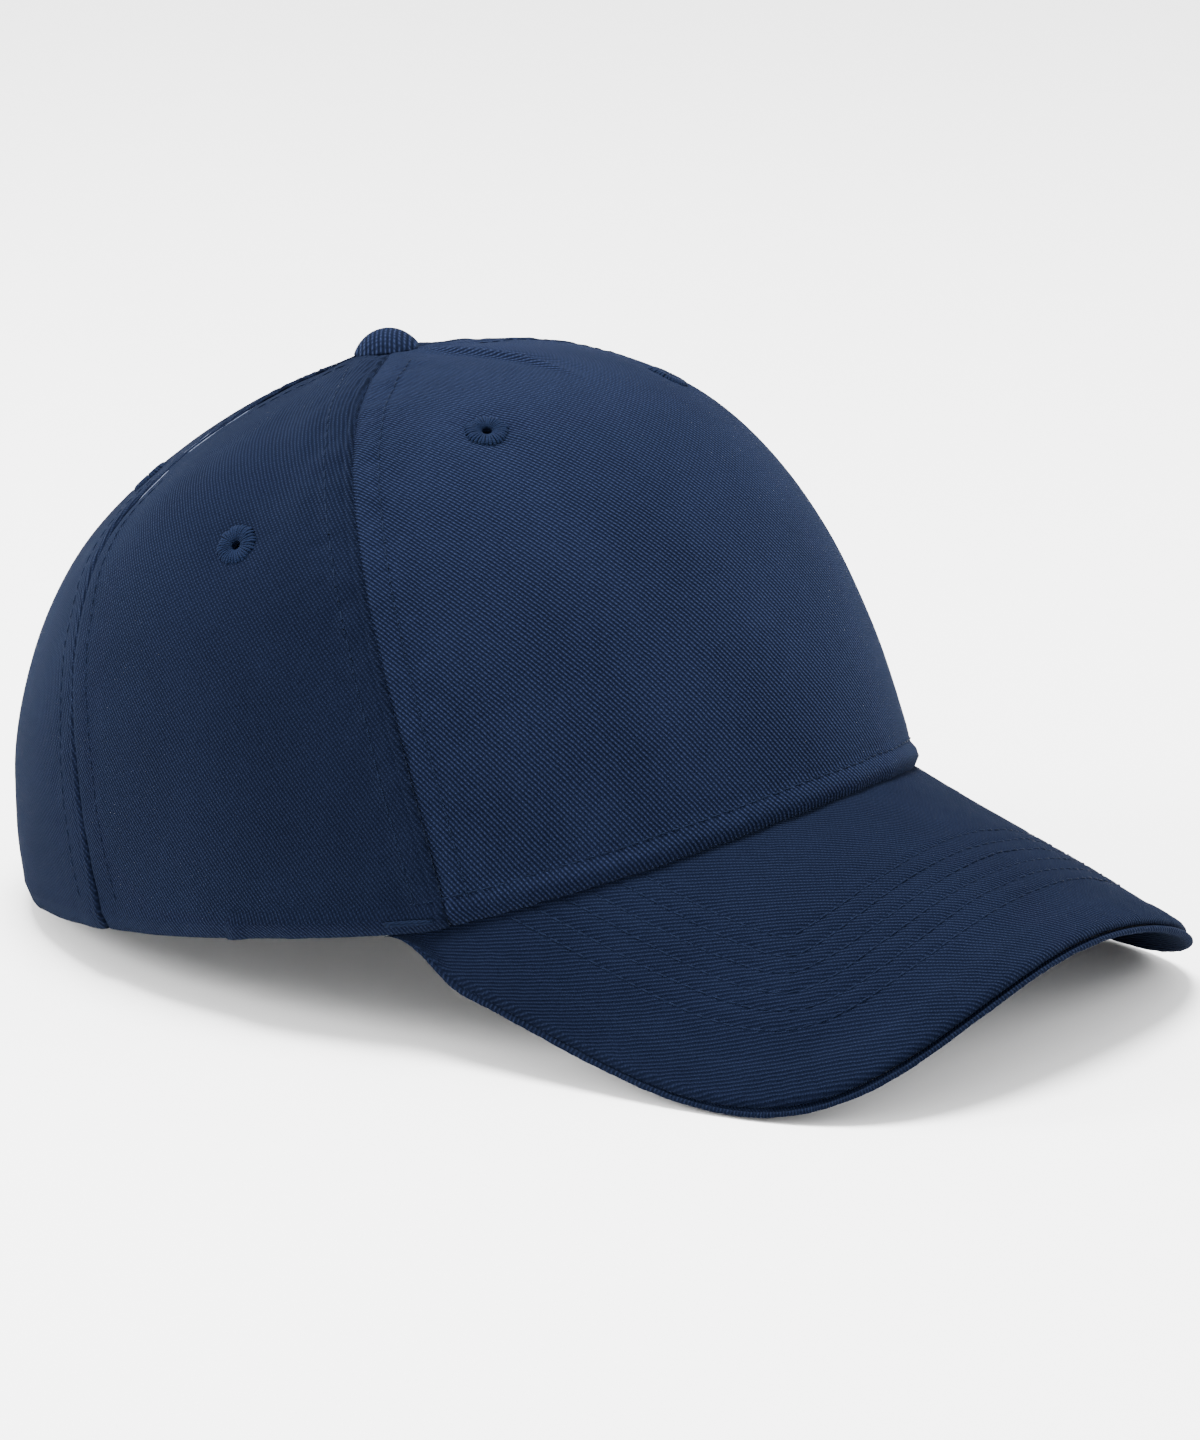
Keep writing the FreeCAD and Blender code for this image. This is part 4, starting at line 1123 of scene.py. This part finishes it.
# Sweatband: two layers, drawn out to the crown's edge at the bottom except behind the strap.
BAND_HEIGHT, PADDING, FACING = 33.0, 0.9, 0.7
BAND_INSET = np.array([2.4, 4.0, 8.0, 0.0])
band_end = 180.0 - math.degrees(math.asin(41.0 / (HALF_WIDTH - BAND_INSET[1])))


def band_grid():
    """The sweatband's outer face and its normals."""
    angle = np.linspace(-band_end, band_end, 300)[:, None]
    share_up = np.linspace(0.0, 1.0, 26)[None, :]
    rise = mix(bottom_rise(angle, BAND_INSET), float(rise_at(BAND_HEIGHT)), share_up)
    grid = crown(angle, rise, BAND_INSET)
    normal = crown_normals(grid)
    tuck = 1.0 - smooth(share_up / 0.42)
    tuck = tuck * (1.0 - smooth((np.abs(angle) - 100.0) / 22.0))
    reach = np.where(np.abs(angle) < 90, 0.9 + 1.6 * np.abs(np.sin(np.radians(angle))), 2.5)
    wave = soft_noise(path_length(grid[:, 5])[:, None] + 0 * rise, grid[..., 2], 13.0, 540)
    grid = grid + normal * (tuck * reach - 0.35 * wave * (1.0 - tuck))[..., None]
    return grid, normal


band_outer, band_normal = band_grid()
band_uv = grid_uv(band_outer)
padding_inner = band_outer - band_normal * PADDING
facing_inner = padding_inner - band_normal * FACING
distance_top = band_uv[:, -1:, 1] - band_uv[..., 1]
seam_pull = 0.22 * bell(distance_top - 2.2, 0.7) + 0.22 * bell(band_uv[..., 1] - 3.0, 0.7)
facing_inner = facing_inner + band_normal * (seam_pull * 0.8)[..., None]
inside_objects["cloth_band_padding"] = (
    sheet_object("cloth_band_padding", band_outer, padding_inner, band_uv, PADDING_CLOTH),
    flat_area(band_outer))
inside_objects["cloth_band_facing"] = (
    sheet_object("cloth_band_facing", padding_inner, facing_inner, band_uv, BAND_TWILL),
    flat_area(facing_inner))
band_runs = []
for row in (-2, 3):
    curve = tidy_curve(facing_inner[:, row], 1.0)
    band_runs.extend(stitch_runs(curve, -crown_normals(curve), 3.2, 2.5, 0.0))
BAND_STITCHES = tubes("sweatband_stitching", band_runs, 0.24, THREAD)

# Blank label beside the wearer's left ear.
LABEL_WIDTH, LABEL_HEIGHT, LABEL_THICKNESS = 24.0, 14.0, 0.4
label_turn = math.degrees(LABEL_WIDTH / HALF_WIDTH) / 2
label_angle = EYELETS["side"][0] + np.linspace(-label_turn, label_turn, 30)[:, None]
label_low = (BAND_HEIGHT - LABEL_HEIGHT) / 2
label_rise = rise_at(np.linspace(label_low, label_low + LABEL_HEIGHT, 18))[None, :]
band_depth = np.array([1.0, 1.0, 1.0, 0.0]) * (PADDING + FACING)
label_face = crown(label_angle, label_rise, BAND_INSET + band_depth)
label_normal = crown_normals(label_face)
label_uv = grid_uv(label_face)
curl = 0.5 + 0.35 * soft_noise(label_uv[..., 0], label_uv[..., 1], 7.0, 550)
label_outer = label_face + label_normal * 0.1 - label_normal * curl[..., None] * 0.5
made = sheet_object("cloth_label", label_outer, label_outer - label_normal * LABEL_THICKNESS,
                    label_uv, LABEL_CLOTH)
inside_objects["cloth_label"] = (made, flat_area(label_outer))


# ======================================================================================
# Strap and its tab
# ======================================================================================

ARC_RADIUS, ARC_CENTRE = 72.11, 36.59
STRAP_MIDDLE = ARC_RADIUS - 2.3 - 1.5 / 2
STRAP_START, STRAP_END = -52.0, 46.0
STRAP_Z, STRAP_HALF_WIDTH = 11.2, 8.95


def arc_point(radius, angle, z):
    """Angle in degrees from the back, + to the wearer's left."""
    angle = np.radians(angle)
    return np.stack(np.broadcast_arrays(radius * np.sin(angle),
                                        ARC_CENTRE + radius * np.cos(angle), z), -1)


def strap_skin(outside, count=230, lines=27):
    """One face of the strap, with its stitch grooves, puckers and rounded tail."""
    angle = np.linspace(STRAP_START, STRAP_END, count)[:, None]
    across = np.linspace(-1.0, 1.0, lines)[None, :]
    edge = np.sqrt(np.maximum(1.0 - np.abs(across) ** 10, 0.0))
    z = STRAP_Z + STRAP_HALF_WIDTH * across + 0 * angle
    length = np.radians(angle) * STRAP_MIDDLE
    pull = -0.16 * bell(np.abs(z - STRAP_Z) - 6.4, 0.6)
    pucker = soft_noise(length + 0 * z, z, 4.5, 560 + outside) * 0.10
    half = (0.62 + pull + pucker) * edge + 0.05
    left = STRAP_END - angle
    tail = smooth(left / 1.2) * 0.6 + 0.4
    z = STRAP_Z + (z - STRAP_Z) * (1.0 - 0.35 * (1.0 - smooth(left / 5.5)) * across ** 2)
    return arc_point(STRAP_MIDDLE + (1.0 if outside else -1.0) * half * tail, angle, z)


strap_out, strap_in = strap_skin(True), strap_skin(False)
strap_uv = grid_uv(strap_out)
STRAP = sheet_object("cloth_strap", strap_out, strap_in, strap_uv, STRAP_TWILL)
strap_runs = []
for sign, skin in ((1.0, strap_out), (-1.0, strap_in)):
    for column in (4, 22):
        curve = tidy_curve(skin[3:-4, column], 1.0)
        hub = np.stack([0 * curve[:, 0], 0 * curve[:, 0] + ARC_CENTRE, curve[:, 2]], 1)
        strap_runs.extend(stitch_runs(curve, unit(curve - hub) * sign, 3.1, 2.45, -0.02))
STRAP_STITCHES = tubes("strap_stitching", strap_runs, 0.24, THREAD)

# The tab: radius and angle of points along it, from one sewn end round the bar to the other.
TAB_RADIUS, TAB_HALF_THICKNESS = 67.0, 0.32
tab_path = [(66.52, 44.0), (66.52, 40.0), (66.52, 34.0), (66.50, 30.0), (66.52, 28.0),
            (66.7, 26.4), (67.1, 25.75), (67.5, 26.4), (67.62, 28.0), (67.6, 30.0),
            (67.3, 33.0), (67.28, 38.0), (67.28, 44.0)]
tab_way = np.linspace(0, len(tab_path) - 1, 120)
tab_radius, tab_angle = [np.convolve(np.pad(np.interp(tab_way, range(len(tab_path)), values), 3,
                                            mode="edge"), np.ones(7) / 7, "valid")
                         for values in zip(*tab_path)]
tab_line = np.stack([np.radians(tab_angle) * TAB_RADIUS, tab_radius], 1)
tab_tangent = unit(np.gradient(tab_line, axis=0))
tab_side = np.stack([-tab_tangent[:, 1], tab_tangent[:, 0]], 1) * TAB_HALF_THICKNESS
tab_skins = []
for line in (tab_line + tab_side, tab_line - tab_side):
    z = np.linspace(STRAP_Z - 8.0, STRAP_Z + 8.0, 17)[None, :]
    tab_skins.append(arc_point(line[:, 1:2], np.degrees(line[:, 0:1] / TAB_RADIUS), z))
TAB = sheet_object("cloth_tab", *tab_skins, grid_uv(tab_skins[0]), STRAP_TWILL)


# ======================================================================================
# What each piece stands for, and how it moves
# ======================================================================================

def stands_for(made, node, body="cap"):
    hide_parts(node)
    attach(made, body)


def declare(made, node, area, body="cap", width=None):
    """Hides the CAD node and attaches the piece; area is one face's, and the width of a rectangle of the same area
    is worked out but not used.
    """
    stands_for(made, node, body)
    width = width or math.sqrt(area)


for node in ("front_panel", "side_panel_right", "side_panel_left", "back_panel_right",
             "back_panel_left"):
    made, area = crown_parts[f"cloth_{node}"]
    declare(made, node,
            area)
INSIDE_NODES = [("cloth_buckram", "front_buckram", "buckram", "front_panel")]
for place in ("front", "side"):
    for word in ("right", "left"):
        under = "front_panel" if place == "front" else f"side_panel_{word}"
        INSIDE_NODES.append((f"cloth_{place}_tape_{word}", f"{place}_seam_tape_{word}",
                             "seam_tape", under))
INSIDE_NODES += [
    ("cloth_centre_tape", "centre_back_tape", "seam_tape", "back_panel_left"),
    ("cloth_binding", "opening_binding", "twill", "back_panel_left"),
    ("cloth_band_padding", "sweatband_padding", "padding", "front_panel"),
    ("cloth_band_facing", "sweatband_facing", "sweatband_cloth", "sweatband_padding"),
    ("cloth_label", "size_label", "label_satin", "sweatband_facing")]
for name, node, slot_name, rests_on in INSIDE_NODES:
    made, area = inside_objects[name]
    declare(made, node, area)
for top, node in ((True, "visor_top_cover"), (False, "visor_under_cover")):
    made, area = visor_objects[top]
    declare(made, node, area)
declare(BUTTON, "button_cover",
        math.tau * ball * BUTTON_HEIGHT * MM * MM)
declare(STRAP, "adjusting_strap", flat_area(strap_out), body="strap",
        width=0.018)
declare(TAB, "buckle_tab", flat_area(tab_skins[0]),
        width=0.016)
stands_for(BOARD_PIECE, "visor_board")
for (place, word), made in eyelet_objects.items():
    stands_for(made, f"eyelet_{place}_{word}")
for made, body in ((CROWN_STITCHES, "cap"), (VISOR_STITCHES, "cap"), (BAND_STITCHES, "cap"),
                   (STRAP_STITCHES, "strap")):
    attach(made, body)


# ======================================================================================
# Camera, floor and light
# ======================================================================================

azimuth, elevation, distance = math.radians(-53.905), math.radians(15.197), 1.49506
turn_back = Matrix.Rotation(math.radians(9.37) - tilt, 3, "X")
back = Vector((math.sin(azimuth) * math.cos(elevation),
               -math.cos(azimuth) * math.cos(elevation), math.sin(elevation)))
right = Vector((math.cos(azimuth), math.sin(azimuth), 0.0))
back, right = turn_back @ back, turn_back @ right
upward = back.cross(right)
aim = origin + turn_back @ Vector((0.0, -0.030, 0.055)) - right * 0.0014 - upward * 0.0217
camera_data = bpy.data.cameras.new("camera")
camera_data.lens = 178.7
camera_data.sensor_width = 36.0
camera_data.clip_start = 0.1
camera = bpy.data.objects.new("camera", camera_data)
camera.matrix_world = Matrix.Translation(aim + back * distance) @ Matrix(
    (right, upward, back)).transposed().to_4x4()
bpy.context.scene.collection.objects.link(camera)
bpy.context.scene.camera = camera


def area_light(name, place, wide, power):
    data = bpy.data.lights.new(name, "AREA")
    data.shape = "DISK"
    data.size = wide
    data.energy = power
    made = bpy.data.objects.new(name, data)
    made.location = place
    made.rotation_euler = (Vector(place) - LIGHT_TARGET).to_track_quat("Z", "Y").to_euler()
    bpy.context.scene.collection.objects.link(made)


LIGHT_TARGET = Vector((0.0, 0.0, 0.06))
area_light("top", (-0.1, 0.1, 1.5), 0.8, 95.0)
area_light("left", (-0.9, 1.2, 0.7), 0.6, 34.0)
area_light("front", (0.8, -1.3, 0.9), 0.8, 12.0)
world = bpy.data.worlds.new("studio")
world.use_nodes = True
background = world.node_tree.nodes["Background"]
background.inputs["Color"].default_value = colour(1.0, 1.0, 1.0)
background.inputs["Strength"].default_value = 2.2
bpy.context.scene.world = world

floor_nodes = Nodes("floor_paper")
grain = floor_nodes.noise(floor_nodes.object_place(), 40.0)
floor_nodes.surface(color=floor_nodes.blend(grain, colour(0.93, 0.93, 0.93),
                                            colour(0.95, 0.95, 0.95)), rough=0.9)
floor = new_object("floor", np.array([[-4, -4, 0], [4, -4, 0], [4, 4, 0], [-4, 4, 0.0]]),
                   [(0, 1, 2, 3)], floor_nodes.material, shade=False)
